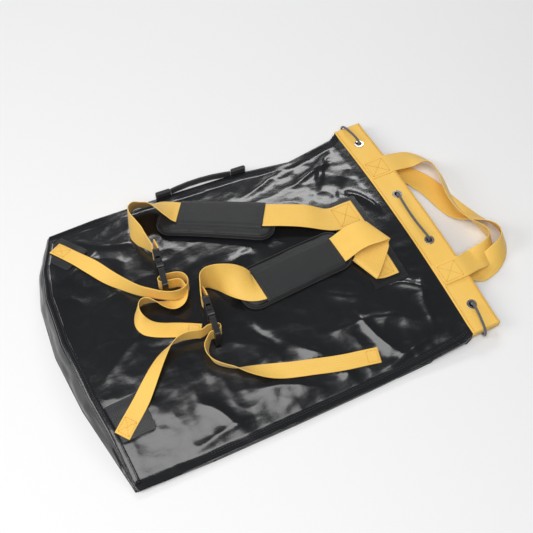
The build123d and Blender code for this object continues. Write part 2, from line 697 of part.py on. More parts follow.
pad_parts = {}
pad_top = pad_lift + pad_thickness
for side, place in pad_places.items():
    with BuildPart() as cover:
        draw_layer(pad_lift, pad_top)
        extrude(pad_outline(place, 0), amount=90, mode=Mode.INTERSECT)
    with BuildPart() as foam:
        draw_layer(pad_lift + pad_wall, pad_top - pad_wall)
        extrude(pad_outline(place, -pad_wall), amount=90, mode=Mode.INTERSECT)
    with BuildPart() as hollow_cover:
        add(cover.part)
        add(foam.part, mode=Mode.SUBTRACT)
    with BuildPart() as binding:
        draw_layer(pad_lift + 2.5, pad_top - 2.5)
        extrude(pad_outline(place, binding_thickness), amount=90, mode=Mode.INTERSECT)
        extrude(pad_outline(place, skin_gap), amount=90, mode=Mode.SUBTRACT)
    with BuildPart() as sleeve:
        draw_layer(pad_top + 0.1, pad_top + 2 * 0.7 + strap_thickness + sleeve_wall)
        extrude(sleeve_outline(place, sleeve_width), amount=90, mode=Mode.INTERSECT)
        with BuildPart(mode=Mode.PRIVATE) as channel:
            draw_layer(pad_top - 2, pad_top + 2 * 0.7 + strap_thickness)
            extrude(sleeve_outline(place, sleeve_width - 2 * sleeve_hem), amount=90, mode=Mode.INTERSECT)
        add(channel.part, mode=Mode.SUBTRACT)
    pad_parts[f"{side}_pad_cover"] = hollow_cover
    pad_parts[f"{side}_pad_foam"] = foam
    pad_parts[f"{side}_pad_binding"] = binding
    pad_parts[f"{side}_pad_sleeve"] = sleeve

# ---- carry handles ----
handle_y = (118.0, -118.0)
stub_lift = 0.15 + band_thickness / 2
bend_end_x = mouth_x + 24.0


def stub_stations(y, top):
    """A sewn handle end on the mouth band."""
    height = mouth_height(y, top) + (stub_lift if top else -stub_lift)
    slope = atan2(mouth_height(y + 15, top) - mouth_height(y - 15, top), 30)
    across = Vector(0, cos(slope), sin(slope))
    return [(Vector(x, y, height), across, handle_width, band_thickness)
            for x in (mouth_x - handle_stub_length, mouth_x)]


front_handle_route = [
    (bend_end_x, 118, 22, -4, 88), (338, 117, 18.5, -10, 78), (351, 112, 17, -26, 62), (362, 103, 17.6, -44, 38),
    (369, 89, 18.6, -58, 14), (370, 72, 19.4, -62), (366, 51, 20.6, -62), (360, 30, 22.6, -60),
    (355, 9, 25, -58), (354, -12, 26, -56), (358, -32, 25, -56), (366, -50, 22, -60),
    (373, -66, 19, -70), (375, -82, 18.4, -74), (369, -96, 17.4, -66), (357, -105, 16.8, -48),
    (344, -109.5, 17, -28), (334, -111, 18, -12), (bend_end_x, -112, 20, -4, 270),
]
rear_handle_route = [
    (bend_end_x, 96, 5, 0, 62), (334, 83, 3, 0, 42), (343, 66, 2.2, 0, 26), (349, 46, 2, 0, 17),
    (353, 27, 2, 0, 14), (358, 7, 2, 0, 18), (365, -13, 5, -10, 24), (374, -31, 11, -30),
    (384, -47, 15, -48), (393, -63, 17, -60), (397, -81, 18, -68), (392, -99, 18, -68),
    (380, -112, 16, -58), (364, -119.5, 12, -38), (348, -124, 7.5, -18), (335, -126.5, 5, -6),
    (bend_end_x, -127, 4.5, 0, 270),
]

handle_parts = {}
handle_ends = {}
for name, route in (("front_handle", front_handle_route), ("rear_handle", rear_handle_route)):
    stations = lay_strap(route, handle_width, band_thickness, on_bag=False)
    with BuildPart() as loop:
        draw_strap(stations)
    handle_parts[name] = loop
    handle_ends[name] = (stations[0], stations[-1])
    print(name, "length", round(strap_length(stations)), "volume share", volume_share(loop, stations))


def bend_stations(stub, start):
    """Soft stretch of a handle between its sewn end and its loop."""
    gap = 0.35
    across = start[1] if start[1].dot(stub[1]) > 0 else start[1] * -1
    middle = (stub[0] + start[0]) * 0.5
    return [(stub[0] + Vector(gap, 0, 0), stub[1], handle_width, band_thickness),
            (middle, (stub[1] + across).normalized(), handle_width, band_thickness),
            (start[0] - Vector(gap, 0, 0), across, handle_width, band_thickness)]


for name, top in (("front", True), ("rear", False)):
    with BuildPart() as stubs:
        for y in handle_y:
            draw_strap(stub_stations(y, top))
    with BuildPart() as bends:
        for y, start in zip(handle_y, handle_ends[f"{name}_handle"]):
            draw_strap(bend_stations(stub_stations(y, top)[1], start))
    handle_parts[f"{name}_handle_sewn_ends"] = stubs
    handle_parts[f"{name}_handle_bends"] = bends

# ---- side handle on the far seam ----
side_handle_x = (-75.0, 62.0)
grip_height, grip_thickness = 11.0, 3.6
side_handle_line = half_width + 8.0


def far_edge(x):
    """Far seam of the top panel at x."""
    distance = mouth_x - x
    for first, second in zip(top_stations, top_stations[1:]):
        if distance <= second[0]:
            return first[2] + (second[2] - first[2]) * (distance - first[0]) / (second[0] - first[0])
    return top_stations[-1][2]


tab_length, tab_thickness = 27.0, 7.0
tab_points = [(x, far_edge(x) + 0.4 + tab_thickness / 2) for x in side_handle_x]
with BuildPart() as side_handle_tabs:
    for x, y in tab_points:
        with BuildSketch(Plane.XY.offset(0.3)):
            with Locations((x, y)):
                SlotOverall(tab_length, tab_thickness, rotation=degrees(atan2(
                    tab_points[1][1] - tab_points[0][1], tab_points[1][0] - tab_points[0][0])))
        extrude(amount=14)

grip_low = (side_handle_x[0] + tab_length / 2 + 1.0, tab_points[0][1], 7.0)
grip_high = (side_handle_x[1] - tab_length / 2 - 1.0, tab_points[1][1], 7.0)
grip_rise = (grip_high[1] - grip_low[1]) / (grip_high[0] - grip_low[0])
with BuildPart() as side_handle_grip:
    grip_route = []
    for share, bow in ((0, 0), (0.12, 2.2), (0.3, 4.6), (0.5, 5.4), (0.7, 4.6), (0.88, 2.2), (1, 0)):
        grip_x = grip_low[0] + (grip_high[0] - grip_low[0]) * share
        grip_route.append((grip_x, grip_low[1] + (grip_x - grip_low[0]) * grip_rise + bow, grip_low[2], 90))
    draw_strap(lay_strap(grip_route, grip_height, grip_thickness, on_bag=False))
print("side handle axis", grip_low, grip_high)

# ---- labels and files ----
named_parts = {
    "upper_panel": upper_panel, "lower_panel": lower_panel, "base_panel": base_panel, "base_seam": base_seam,
    "near_side_seam": seam_parts["near"], "far_side_seam": seam_parts["far"],
    "mouth_band": mouth_band, "eyelets": eyelets, "eyelet_washers": eyelet_washers,
    "drawcord": drawcord, "cord_end_knots": cord_end_knots, "cord_lock_barrel": cord_lock_barrel,
    "cord_lock_plunger": cord_lock_plunger, "cord_lock_spring": cord_lock_spring,
    "side_handle_tabs": side_handle_tabs, "side_handle_grip": side_handle_grip,
    **strap_parts, **patch_parts, **pad_parts, **buckle_parts, **handle_parts,
}
os.makedirs("parts", exist_ok=True)
for name, built in named_parts.items():
    built.part.label = name
    export_step(built.part, f"parts/{name}.step")
print(len(named_parts), "parts")
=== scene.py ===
import json
import math

import bmesh
import bpy
import numpy as np
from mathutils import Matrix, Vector, noise
from mathutils.bvhtree import BVHTree

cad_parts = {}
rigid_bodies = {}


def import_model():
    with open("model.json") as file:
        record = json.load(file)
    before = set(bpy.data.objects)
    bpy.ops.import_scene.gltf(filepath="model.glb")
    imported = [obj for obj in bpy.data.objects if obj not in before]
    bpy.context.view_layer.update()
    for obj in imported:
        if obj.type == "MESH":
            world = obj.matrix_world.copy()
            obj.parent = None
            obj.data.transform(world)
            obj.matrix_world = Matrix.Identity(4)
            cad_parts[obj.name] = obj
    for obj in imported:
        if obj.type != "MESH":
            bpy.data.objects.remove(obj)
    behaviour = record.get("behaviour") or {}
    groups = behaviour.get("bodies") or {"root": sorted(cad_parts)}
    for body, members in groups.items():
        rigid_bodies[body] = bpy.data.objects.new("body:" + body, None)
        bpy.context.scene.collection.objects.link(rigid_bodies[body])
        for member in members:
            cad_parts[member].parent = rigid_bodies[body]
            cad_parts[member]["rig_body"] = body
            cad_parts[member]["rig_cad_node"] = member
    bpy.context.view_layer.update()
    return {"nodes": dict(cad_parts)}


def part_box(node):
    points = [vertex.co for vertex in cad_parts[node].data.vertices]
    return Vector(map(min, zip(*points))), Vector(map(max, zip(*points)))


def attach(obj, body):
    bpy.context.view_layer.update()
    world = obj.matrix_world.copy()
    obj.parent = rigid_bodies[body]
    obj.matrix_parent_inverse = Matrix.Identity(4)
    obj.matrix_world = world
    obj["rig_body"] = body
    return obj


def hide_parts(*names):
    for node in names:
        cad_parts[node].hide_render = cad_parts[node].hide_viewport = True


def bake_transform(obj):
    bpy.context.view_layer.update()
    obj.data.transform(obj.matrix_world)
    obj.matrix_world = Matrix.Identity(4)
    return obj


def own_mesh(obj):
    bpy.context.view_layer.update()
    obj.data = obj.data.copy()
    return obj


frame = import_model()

MM = 0.001
nodes = frame["nodes"]

# ---- camera and light


def add_camera():
    """Camera at the photograph's angle: above the base's near corner."""
    data = bpy.data.cameras.new("camera")
    data.lens = 67.5
    data.sensor_width = 36
    camera = bpy.data.objects.new("camera", data)
    camera.location = (-0.3749, -0.7681, 1.3818)
    direction = Vector((0.2405, 0.4887, -0.8387))
    camera.rotation_euler = direction.to_track_quat("-Z", "Y").to_euler()
    bpy.context.scene.collection.objects.link(camera)
    bpy.context.scene.camera = camera


def add_area_light(name, location, target, size, power, color=(1, 1, 1)):
    """A soft rectangular light aimed at a point."""
    data = bpy.data.lights.new(name, "AREA")
    data.shape = "RECTANGLE"
    data.size, data.size_y = size
    data.energy = power
    data.color = color
    light = bpy.data.objects.new(name, data)
    light.location = location
    direction = Vector(target) - Vector(location)
    light.rotation_euler = direction.to_track_quat("-Z", "Y").to_euler()
    bpy.context.scene.collection.objects.link(light)


def add_studio():
    """Pale floor, soft overhead lights and a pale world."""
    add_area_light("softbox_back", (1.3, 2.5, 1.7), (0.05, 0.05, 0), (2.2, 0.6), 30)
    add_area_light("softbox_left", (-2.4, 0.5, 1.6), (0, 0, 0), (1.3, 1.4), 30)
    add_area_light("softbox_top", (-0.7, -1.0, 2.7), (0, 0, 0), (2.2, 2.2), 68)
    bpy.context.scene.view_settings.view_transform = "Standard"
    world = bpy.data.worlds.new("studio")
    bpy.context.scene.world = world
    world.use_nodes = True
    background = world.node_tree.nodes["Background"]
    background.inputs["Color"].default_value = (0.93, 0.94, 0.96, 1)
    background.inputs["Strength"].default_value = 0.17
    bpy.ops.mesh.primitive_plane_add(size=14, location=(0, 0, 0))
    floor = bpy.context.object
    floor.name = "studio_floor"
    material, shader, tree = new_material("floor_paper", (0.84, 0.84, 0.84), 0.75)
    floor.data.materials.append(material)


# ---- materials


def new_material(name, color, roughness):
    """A principled material with its colour and roughness set."""
    material = bpy.data.materials.new(name)
    material.use_nodes = True
    tree = material.node_tree
    shader = tree.nodes["Principled BSDF"]
    shader.inputs["Base Color"].default_value = (*color, 1)
    shader.inputs["Roughness"].default_value = roughness
    return material, shader, tree


def add_noise(tree, scale, detail=3.0, source="Object", stretch=(1, 1, 1)):
    """A noise texture in object or UV coordinates, in repeats per metre."""
    coordinates = tree.nodes.new("ShaderNodeTexCoord")
    mapping = tree.nodes.new("ShaderNodeMapping")
    mapping.inputs["Scale"].default_value = stretch
    texture = tree.nodes.new("ShaderNodeTexNoise")
    texture.inputs["Scale"].default_value = scale
    texture.inputs["Detail"].default_value = detail
    tree.links.new(coordinates.outputs[source], mapping.inputs["Vector"])
    tree.links.new(mapping.outputs["Vector"], texture.inputs["Vector"])
    return texture.outputs["Fac"]


def add_wave(tree, scale, direction, source="UV"):
    """A sine wave texture along one axis, in waves per metre."""
    coordinates = tree.nodes.new("ShaderNodeTexCoord")
    texture = tree.nodes.new("ShaderNodeTexWave")
    texture.wave_type = "BANDS"
    texture.bands_direction = direction
    texture.wave_profile = "SIN"
    texture.inputs["Scale"].default_value = scale * math.pi / 10 / (math.pi / 2)
    texture.inputs["Distortion"].default_value = 0
    tree.links.new(coordinates.outputs[source], texture.inputs["Vector"])
    return texture.outputs["Fac"]


def ramp(tree, value, low, high):
    """Colours or greys between low and high, driven by a value."""
    node = tree.nodes.new("ShaderNodeValToRGB")
    for element, color in zip(node.color_ramp.elements, (low, high)):
        element.color = (*color, 1) if hasattr(color, "__len__") else (color, color, color, 1)
    tree.links.new(value, node.inputs["Fac"])
    return node.outputs["Color"]


def drive(tree, shader, socket, value, low, high):
    """A shader socket that runs from low to high with a value."""
    tree.links.new(ramp(tree, value, low, high), shader.inputs[socket])


def combine(tree, operation, first, second):
    """Two values joined by one maths operation; the second may be a number."""
    node = tree.nodes.new("ShaderNodeMath")
    node.operation = operation
    tree.links.new(first, node.inputs[0])
    if isinstance(second, (int, float)):
        node.inputs[1].default_value = second
    else:
        tree.links.new(second, node.inputs[1])
    return node.outputs[0]


def add_bump(tree, shader, height, strength, distance):
    """Bump from a height, in metres."""
    bump = tree.nodes.new("ShaderNodeBump")
    bump.inputs["Strength"].default_value = strength
    bump.inputs["Distance"].default_value = distance
    tree.links.new(height, bump.inputs["Height"])
    previous = shader.inputs["Normal"].links
    if previous:
        tree.links.new(previous[0].from_socket, bump.inputs["Normal"])
    tree.links.new(bump.outputs["Normal"], shader.inputs["Normal"])


def make_tarpaulin():
    """Glossy coated tarpaulin: soft crumples, faint grain, patchy gloss and a little dust."""
    material, shader, tree = new_material("tarpaulin", (0.016, 0.017, 0.020), 0.3)
    shader.inputs["Specular IOR Level"].default_value = 0.55
    shader.inputs["Coat Weight"].default_value = 0.35
    shader.inputs["Coat Roughness"].default_value = 0.10
    patchy = add_noise(tree, 9, 5)
    drive(tree, shader, "Base Color", patchy, (0.004, 0.0045, 0.006), (0.009, 0.010, 0.012))
    fine = add_noise(tree, 130, 4)
    mixed = combine(tree, "MULTIPLY_ADD", fine, 0.5)
    tree.links.new(combine(tree, "MULTIPLY", patchy, 0.4), mixed.node.inputs[2])
    drive(tree, shader, "Roughness", mixed, 0.14, 0.34)
    add_bump(tree, shader, add_noise(tree, 11, 4, stretch=(1.0, 1.7, 1.0)), 0.24, 0.010)
    add_bump(tree, shader, add_noise(tree, 620, 2), 0.10, 0.0006)
    return material


def make_webbing(name, light, dark, sheen):
    """Woven webbing: fine ribs across the strap, two raised selvedges and uneven colour."""
    material, shader, tree = new_material(name, light, 0.62)
    shader.inputs["Sheen Weight"].default_value = sheen
    shader.inputs["Sheen Roughness"].default_value = 0.4
    ribs = add_wave(tree, 620, "Y")
    warp = add_wave(tree, 420, "X")
    weave = combine(tree, "MULTIPLY", ribs, warp)
    uneven = add_noise(tree, 45, 4, "UV", (1, 0.35, 1))
    blend = combine(tree, "MULTIPLY_ADD", weave, 0.45)
    tree.links.new(combine(tree, "MULTIPLY", uneven, 0.7), blend.node.inputs[2])
    drive(tree, shader, "Base Color", blend, dark, light)
    add_bump(tree, shader, weave, 0.55, 0.0006)
    add_bump(tree, shader, add_noise(tree, 300, 3, "UV"), 0.25, 0.0005)
    return material


def make_cloth(name, light, dark, roughness, scale=760):
    """Plain woven black cloth with a soft crumple."""
    material, shader, tree = new_material(name, light, roughness)
    shader.inputs["Sheen Weight"].default_value = 0.08
    one = add_wave(tree, scale, "X", "Object")
    two = add_wave(tree, scale, "Y", "Object")
    weave = combine(tree, "MULTIPLY", one, two)
    uneven = add_noise(tree, 38, 5)
    blend = combine(tree, "MULTIPLY_ADD", weave, 0.5)
    tree.links.new(combine(tree, "MULTIPLY", uneven, 0.6), blend.node.inputs[2])
    drive(tree, shader, "Base Color", blend, dark, light)
    add_bump(tree, shader, weave, 0.4, 0.0005)
    add_bump(tree, shader, add_noise(tree, 30, 4), 0.3, 0.004)
    return material


def make_thread(name, color):
    """Twisted sewing thread."""
    material, shader, tree = new_material(name, color, 0.6)
    bright = tuple(min(1.0, c * 1.25 + 0.01) for c in color)
    drive(tree, shader, "Base Color", add_noise(tree, 900, 2), color, bright)
    add_bump(tree, shader, add_noise(tree, 2500, 2), 0.3, 0.0002)
    return material


def make_plastic():
    """Moulded acetal: satin, with faint flow marks and rubbed high spots."""
    material, shader, tree = new_material("moulded_plastic", (0.012, 0.012, 0.014), 0.34)
    marks = add_noise(tree, 90, 5)
    drive(tree, shader, "Roughness", marks, 0.27, 0.48)
    drive(tree, shader, "Base Color", add_noise(tree, 40, 4), (0.010, 0.010, 0.012), (0.022, 0.022, 0.024))
    add_bump(tree, shader, add_noise(tree, 900, 2), 0.06, 0.0004)
    return material


def make_nickel():
    """Nickel plate, a little dull and scratched."""
    material, shader, tree = new_material("nickel", (0.62, 0.60, 0.57), 0.25)
    shader.inputs["Metallic"].default_value = 1.0
    scratches = add_noise(tree, 700, 5, stretch=(1, 0.2, 1))
    drive(tree, shader, "Roughness", scratches, 0.16, 0.42)
    drive(tree, shader, "Base Color", add_noise(tree, 120, 3), (0.45, 0.43, 0.41), (0.72, 0.70, 0.66))
    return material


def make_braid():
    """Braided cord: two crossing sets of strands."""
    material, shader, tree = new_material("braided_cord", (0.075, 0.075, 0.08), 0.7)
    shader.inputs["Sheen Weight"].default_value = 0.3
    coordinates = tree.nodes.new("ShaderNodeTexCoord")
    bricks = tree.nodes.new("ShaderNodeTexVoronoi")
    bricks.inputs["Scale"].default_value = 950
    tree.links.new(coordinates.outputs["Object"], bricks.inputs["Vector"])
    drive(tree, shader, "Base Color", bricks.outputs["Distance"], (0.17, 0.17, 0.18), (0.03, 0.03, 0.033))
    add_bump(tree, shader, combine(tree, "MULTIPLY", bricks.outputs["Distance"], -1.0), 0.6, 0.0006)
    return material


TARPAULIN = make_tarpaulin()
YELLOW = make_webbing("yellow_webbing", (0.93, 0.61, 0.15), (0.86, 0.50, 0.075), 0.15)
BLACK_WEBBING = make_webbing("black_webbing", (0.032, 0.032, 0.034), (0.010, 0.010, 0.011), 0.2)
PAD_CLOTH = make_cloth("pad_cloth", (0.013, 0.014, 0.015), (0.005, 0.006, 0.007), 0.56)
PATCH_CLOTH = make_cloth("patch_cloth", (0.010, 0.011, 0.013), (0.005, 0.005, 0.007), 0.34, 500)
YELLOW_THREAD = make_thread("yellow_thread", (0.60, 0.26, 0.015))
BLACK_THREAD = make_thread("black_thread", (0.03, 0.03, 0.032))
PLASTIC = make_plastic()
NICKEL = make_nickel()
BRAID = make_braid()

# ---- surfaces


def tree_of(*names):
    """Ray casting tree over CAD nodes."""
    points, faces = [], []
    for name in names:
        mesh = nodes[name].data
        start = len(points)
        points += [v.co.copy() for v in mesh.vertices]
        faces += [[start + i for i in p.vertices] for p in mesh.polygons]
    return BVHTree.FromPolygons(points, faces)


UPPER = tree_of("upper_panel")
LOWER = tree_of("lower_panel")
MOUTH = tree_of("mouth_band")
DOWN, UP = Vector((0, 0, -1)), Vector((0, 0, 1))


def hit_down(tree, x, y):
    """Height of the first surface seen from above, or None."""
    hit = tree.ray_cast(Vector((x, y, 1)), DOWN)[0]
    return None if hit is None else hit.z


def hit_up(tree, x, y):
    """Height of the first surface seen from below, or None."""
    hit = tree.ray_cast(Vector((x, y, -1)), UP)[0]
    return None if hit is None else hit.z


def bag_top(x, y):
    """Height of the bag's CAD skin, held level past its edges."""
    for shrink in (1, 0.97, 0.94, 0.9, 0.85):
        found = hit_down(UPPER, x * shrink, y * shrink)
        if found is not None:
            return found
    return 0.01


def last_inside(tree, inside, outside):
    """Last point over the tree on the way from inside to outside, in plan."""
    low, high = 0.0, 1.0
    for _ in range(22):
        middle = (low + high) / 2
        x = inside[0] + (outside[0] - inside[0]) * middle
        y = inside[1] + (outside[1] - inside[1]) * middle
        low, high = (middle, high) if hit_down(tree, x, y) is not None else (low, middle)
    return (inside[0] + (outside[0] - inside[0]) * low, inside[1] + (outside[1] - inside[1]) * low)


def new_object(name, vertices, faces, material, smooth=True, uv=None):
    """A mesh object from points and faces, with UVs in metres where they are given."""
    mesh = bpy.data.meshes.new(name)
    mesh.from_pydata([tuple(v) for v in vertices], [], faces)
    mesh.materials.append(material)
    for polygon in mesh.polygons:
        polygon.use_smooth = smooth
    if uv is not None:
        layer = mesh.uv_layers.new(name="uv")
        for loop in mesh.loops:
            layer.data[loop.index].uv = uv[loop.vertex_index]
    mesh.update()
    made = bpy.data.objects.new(name, mesh)
    bpy.context.scene.collection.objects.link(made)
    return made


def apply_modifiers(made):
    """Replace an object's mesh by what its modifiers make of it."""
    bpy.context.view_layer.update()
    result = bpy.data.meshes.new_from_object(made.evaluated_get(bpy.context.evaluated_depsgraph_get()))
    made.modifiers.clear()
    made.data = result


def thicken(made, thickness, offset):
    """Give a skin its real thickness."""
    solid = made.modifiers.new("thickness", "SOLIDIFY")
    solid.thickness = thickness
    solid.offset = offset
    solid.use_even_offset = False
    apply_modifiers(made)


def grid_faces(rows, columns, wrap=False, ring=False):
    """Quads of a grid of points, wrapped across its columns, and from its last row to its first, if asked."""
    last_column = columns if wrap else columns - 1
    last_row = rows if ring else rows - 1
    return [(r * columns + c, r * columns + (c + 1) % columns,
             (r + 1) % rows * columns + (c + 1) % columns, (r + 1) % rows * columns + c)
            for r in range(last_row) for c in range(last_column)]


def copy_of_node(node, name, material):
    """A new object with a copy of a CAD node's mesh."""
    made = bpy.data.objects.new(name, nodes[node].data.copy())
    bpy.context.scene.collection.objects.link(made)
    made.data.materials.clear()
    made.data.materials.append(material)
    return made


def finish_piece(made, body, slot, *replaced):
    """Ride on a body and stand for CAD nodes; the slot is not used."""
    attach(made, body)
    if replaced:
        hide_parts(*replaced)
    return made


# ---- bag skins

MOUTH_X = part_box("upper_panel")[1].x
MOUTH_INSIDE_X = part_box("mouth_band")[0].x
SHEET = 1.2 * MM
BASE_LIMIT_X = -0.20        # seams run straight on past here, and the base curve cuts them
CREASES = [
    # from, to, height, half width: folds and dents of the empty bag
    ((0.236, 0.205), (0.150, 0.120), 5.0, 9), ((0.226, 0.172), (0.120, 0.150), 4.0, 8),
    ((0.205, 0.212), (0.020, 0.168), 4.2, 10), ((0.215, 0.140), (0.170, 0.020), -3.2, 12),
    ((0.236, 0.020), (0.195, 0.110), 3.2, 8), ((0.236, -0.150), (0.140, -0.060), 4.4, 10),
    ((0.230, -0.205), (0.060, -0.215), 3.2, 9), ((0.200, -0.165), (0.020, -0.120), 3.6, 10),
    ((0.150, -0.225), (0.085, -0.110), 4.4, 9), ((0.060, -0.228), (-0.015, -0.120), 4.2, 10),
    ((0.030, -0.215), (-0.110, -0.165), 3.4, 9), ((-0.030, -0.140), (-0.060, -0.060), -3.0, 12),
    ((-0.120, -0.225), (-0.190, -0.150), 3.6, 10), ((-0.090, -0.210), (-0.250, -0.205), 2.6, 8),
    ((-0.300, -0.075), (-0.190, 0.020), 3.2, 11), ((-0.320, 0.030), (-0.200, 0.090), 3.4, 11),
    ((-0.300, 0.120), (-0.210, 0.190), 3.0, 10), ((-0.270, 0.225), (-0.150, 0.150), 3.4, 10),
    ((-0.200, 0.235), (-0.060, 0.222), 2.8, 8), ((-0.235, -0.030), (-0.140, -0.060), -2.6, 11),
    ((0.060, -0.070), (0.140, -0.100), 2.4, 10), ((0.010, 0.060), (-0.060, 0.040), 2.8, 11),
    ((0.100, 0.020), (0.000, 0.030), -2.6, 11), ((0.226, -0.100), (0.205, -0.190), 3.2, 8),
]


def crease_height(x, y):
    """Sum of the listed creases at a point, in metres."""
    total = 0.0
    for (x0, y0), (x1, y1), height, half in CREASES:
        dx, dy = x1 - x0, y1 - y0
        length = math.hypot(dx, dy)
        along = ((x - x0) * dx + (y - y0) * dy) / length
        wander = 0.006 * math.sin(along * 38 + x0 * 40)
        aside = ((x - x0) * dy - (y - y0) * dx) / length + wander
        if abs(aside) > 0.06 or along < -0.03 or along > length + 0.03:
            continue
        taper = math.exp(-((along / length - 0.5) / 0.36) ** 4)
        ridge = 1 / (1 + (aside / (half * MM)) ** 2) ** 1.5
        total += height * MM * taper * ridge
    return total


def crumple(x, y):
    """Soft crumple of the coated cloth, in metres."""
    point = Vector((x * 7 + 3.1, y * 9 - 1.7, 0.4))
    broad = noise.noise(point)
    point = Vector((x * 21 + 1.3, y * 26 + 5.2, 2.2))
    middle = abs(noise.noise(point))
    point = Vector((x * 62 - 2.3, y * 55 + 0.7, 4.9))
    return (2.2 * broad + 2.1 * (0.35 - middle) + 0.45 * noise.noise(point)) * MM


def pressed(x, y, tops):
    """How free the skin is to lift: 0 under a pad or a sewn patch, 1 where nothing lies on it."""
    ceiling = 0.03
    for tree in tops:
        found = tree.ray_cast(Vector((x, y, -0.5)), UP)[0]
        if found is not None:
            ceiling = min(ceiling, max(0.0, found.z - bag_top(x, y)))
    return ceiling


def plan_lanes(rows, columns, tree):
    """Plan points of the bag: rows from the mouth to the base, columns from the near to the far side."""
    edge = {}

    def sides(x):
        key = round(max(x, BASE_LIMIT_X), 4)
        if key not in edge:
            inner = (key, 0.0)
            near = last_inside(tree, inner, (key, -0.30))[1]
            far = last_inside(tree, inner, (key, 0.30))[1]
            edge[key] = (near, far)
        return edge[key]

    points = np.zeros((rows, columns, 2))
    for column in range(columns):
        share = column / (columns - 1)

        def lane_y(x):
            near, far = sides(x)
            return near + (far - near) * share

        low, high = -0.15, -0.40
        for _ in range(20):
            middle = (low + high) / 2
            if hit_down(tree, middle, lane_y(middle)) is not None:
                low = middle
            else:
                high = middle
        end = low + 0.0002
        for row in range(rows):
            x = MOUTH_X - 0.0002 + (end - MOUTH_X) * row / (rows - 1)
            points[row, column] = (x, lane_y(x))
    return points


def smooth_field(field, passes):
    """Blur a grid of values."""
    for _ in range(passes):
        padded = np.pad(field, 1, mode="edge")
        field = (padded[:-2, 1:-1] + padded[2:, 1:-1] + padded[1:-1, :-2] + padded[1:-1, 2:] + 2 * field) / 6
    return field


def build_top_skin():
    """The harness side of the bag: the CAD skin with its folds and crumples."""
    rows, columns = ((300, 220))
    plan = plan_lanes(rows, columns, UPPER)
    covered = [tree_of(f"{side}_{part}") for side in ("near", "far")
               for part in ("upper_patch", "lower_patch", "pad_foam")]
    straps = [tree_of(f"{side}_{part}") for side in ("near", "far")
              for part in ("shoulder_webbing", "lower_webbing", "buckle_socket", "buckle_plug")]
    base = np.zeros((rows, columns))
    free = np.zeros((rows, columns))
    for row in range(rows):
        for column in range(columns):
            x, y = plan[row, column]
            base[row, column] = hit_down(UPPER, x, y) or bag_top(x, y)
            room = min(pressed(x, y, covered) * 0.25, pressed(x, y, straps) * 0.6)
            free[row, column] = min(1.0, room / 0.0042)
    free = np.minimum(free, smooth_field(free, 24))
    heights = np.zeros((rows, columns))
    for row in range(rows):
        for column in range(columns):
            x, y = plan[row, column]
            side = min(column, columns - 1 - column) / (columns - 1) * 0.47
            base_side = (rows - 1 - row) / (rows - 1) * 0.63
            mouth_side = max(0.0, MOUTH_INSIDE_X - x)
            fade = min(1.0, side / 0.03) * min(1.0, base_side / 0.02) * min(1.0, mouth_side / 0.02)
            lift = crease_height(x, y) + crumple(x, y)
            room = free[row, column]
            lift = max(lift, -0.006)
            share = room if lift > 0 else 0.25 + 0.75 * room
            heights[row, column] = base[row, column] + fade * lift * share
    vertices = [(plan[r, c, 0], plan[r, c, 1], heights[r, c]) for r in range(rows) for c in range(columns)]
    skin = new_object("top_skin", vertices, grid_faces(rows, columns), TARPAULIN)
    return skin, plan, heights


def build_bottom_skin():
    """The side the bag lies on, flat with a faint crumple, turned up towards the mouth."""
    rows, columns = 90, 70
    plan = plan_lanes(rows, columns, LOWER)
    vertices = []
    for row in range(rows):
        for column in range(columns):
            x, y = plan[row, column]
            z = hit_up(LOWER, x, y)
            z = 0.0 if z is None else z
            lifted = min(1.0, z / 0.004)
            fade = min(1.0, max(0.0, MOUTH_INSIDE_X - x) / 0.03)
            z += max(0.0, crumple(x + 0.5, y)) * 0.6 * (0.15 + 0.85 * lifted) * fade
            vertices.append((x, y, z + 0.0001))
    skin = new_object("bottom_skin", vertices, grid_faces(rows, columns), TARPAULIN)
    return skin, vertices, columns


def build_base_skin(top_plan, top_heights, bottom_vertices, bottom_columns):
    """The round base, folded flat under the top skin's end: from the base seam down to the floor."""
    rows, columns = 14, 160
    top_edge = [Vector((*top_plan[-1, c], top_heights[-1, c])) for c in range(top_plan.shape[1])]
    low_edge = [Vector(v) for v in bottom_vertices[-bottom_columns:]]

    def along(edge, share):
        position = share * (len(edge) - 1)
        index = min(int(position), len(edge) - 2)
        return edge[index].lerp(edge[index + 1], position - index)

    vertices = []
    for row in range(rows):
        down = row / (rows - 1)
        for column in range(columns):
            share = column / (columns - 1)
            high, low = along(top_edge, share), along(low_edge, share)
            point = high.lerp(low, down)
            outward = Vector((-1, 0.12 * (share - 0.5), 0.3)).normalized()
            swell = math.sin(math.pi * down) * (1.0 + 1.6 * noise.noise(Vector((share * 14, down * 2, 3.3))))
            point += outward * swell * 1.6 * MM * min(1.0, 12 * share, 12 * (1 - share))
            vertices.append(point - UP * (SHEET * 0.4) * (1 - down))
    return new_object("base_skin", vertices, grid_faces(rows, columns), TARPAULIN)


# ---- thread

STITCHES = {"yellow": [], "black": []}


def stitch_line(kind, points, pitch=4.2, length=3.1, thick=0.8):
    """Lay one row of stitches along a line of points; sizes in millimetres."""
    runs = [(a, b) for a, b in zip(points, points[1:]) if (b - a).length > 1e-6]
    if not runs:
        return
    total = sum((b - a).length for a, b in runs)
    count = max(1, int(total / (pitch * MM)))
    step = total / count
    for index in range(count):
        reach = (index + 0.5) * step
        for a, b in runs:
            if reach <= (b - a).length:
                break
            reach -= (b - a).length
        middle = a + (b - a).normalized() * min(reach, (b - a).length)
        STITCHES[kind].append((middle, (b - a).normalized(), length * MM, thick * MM))


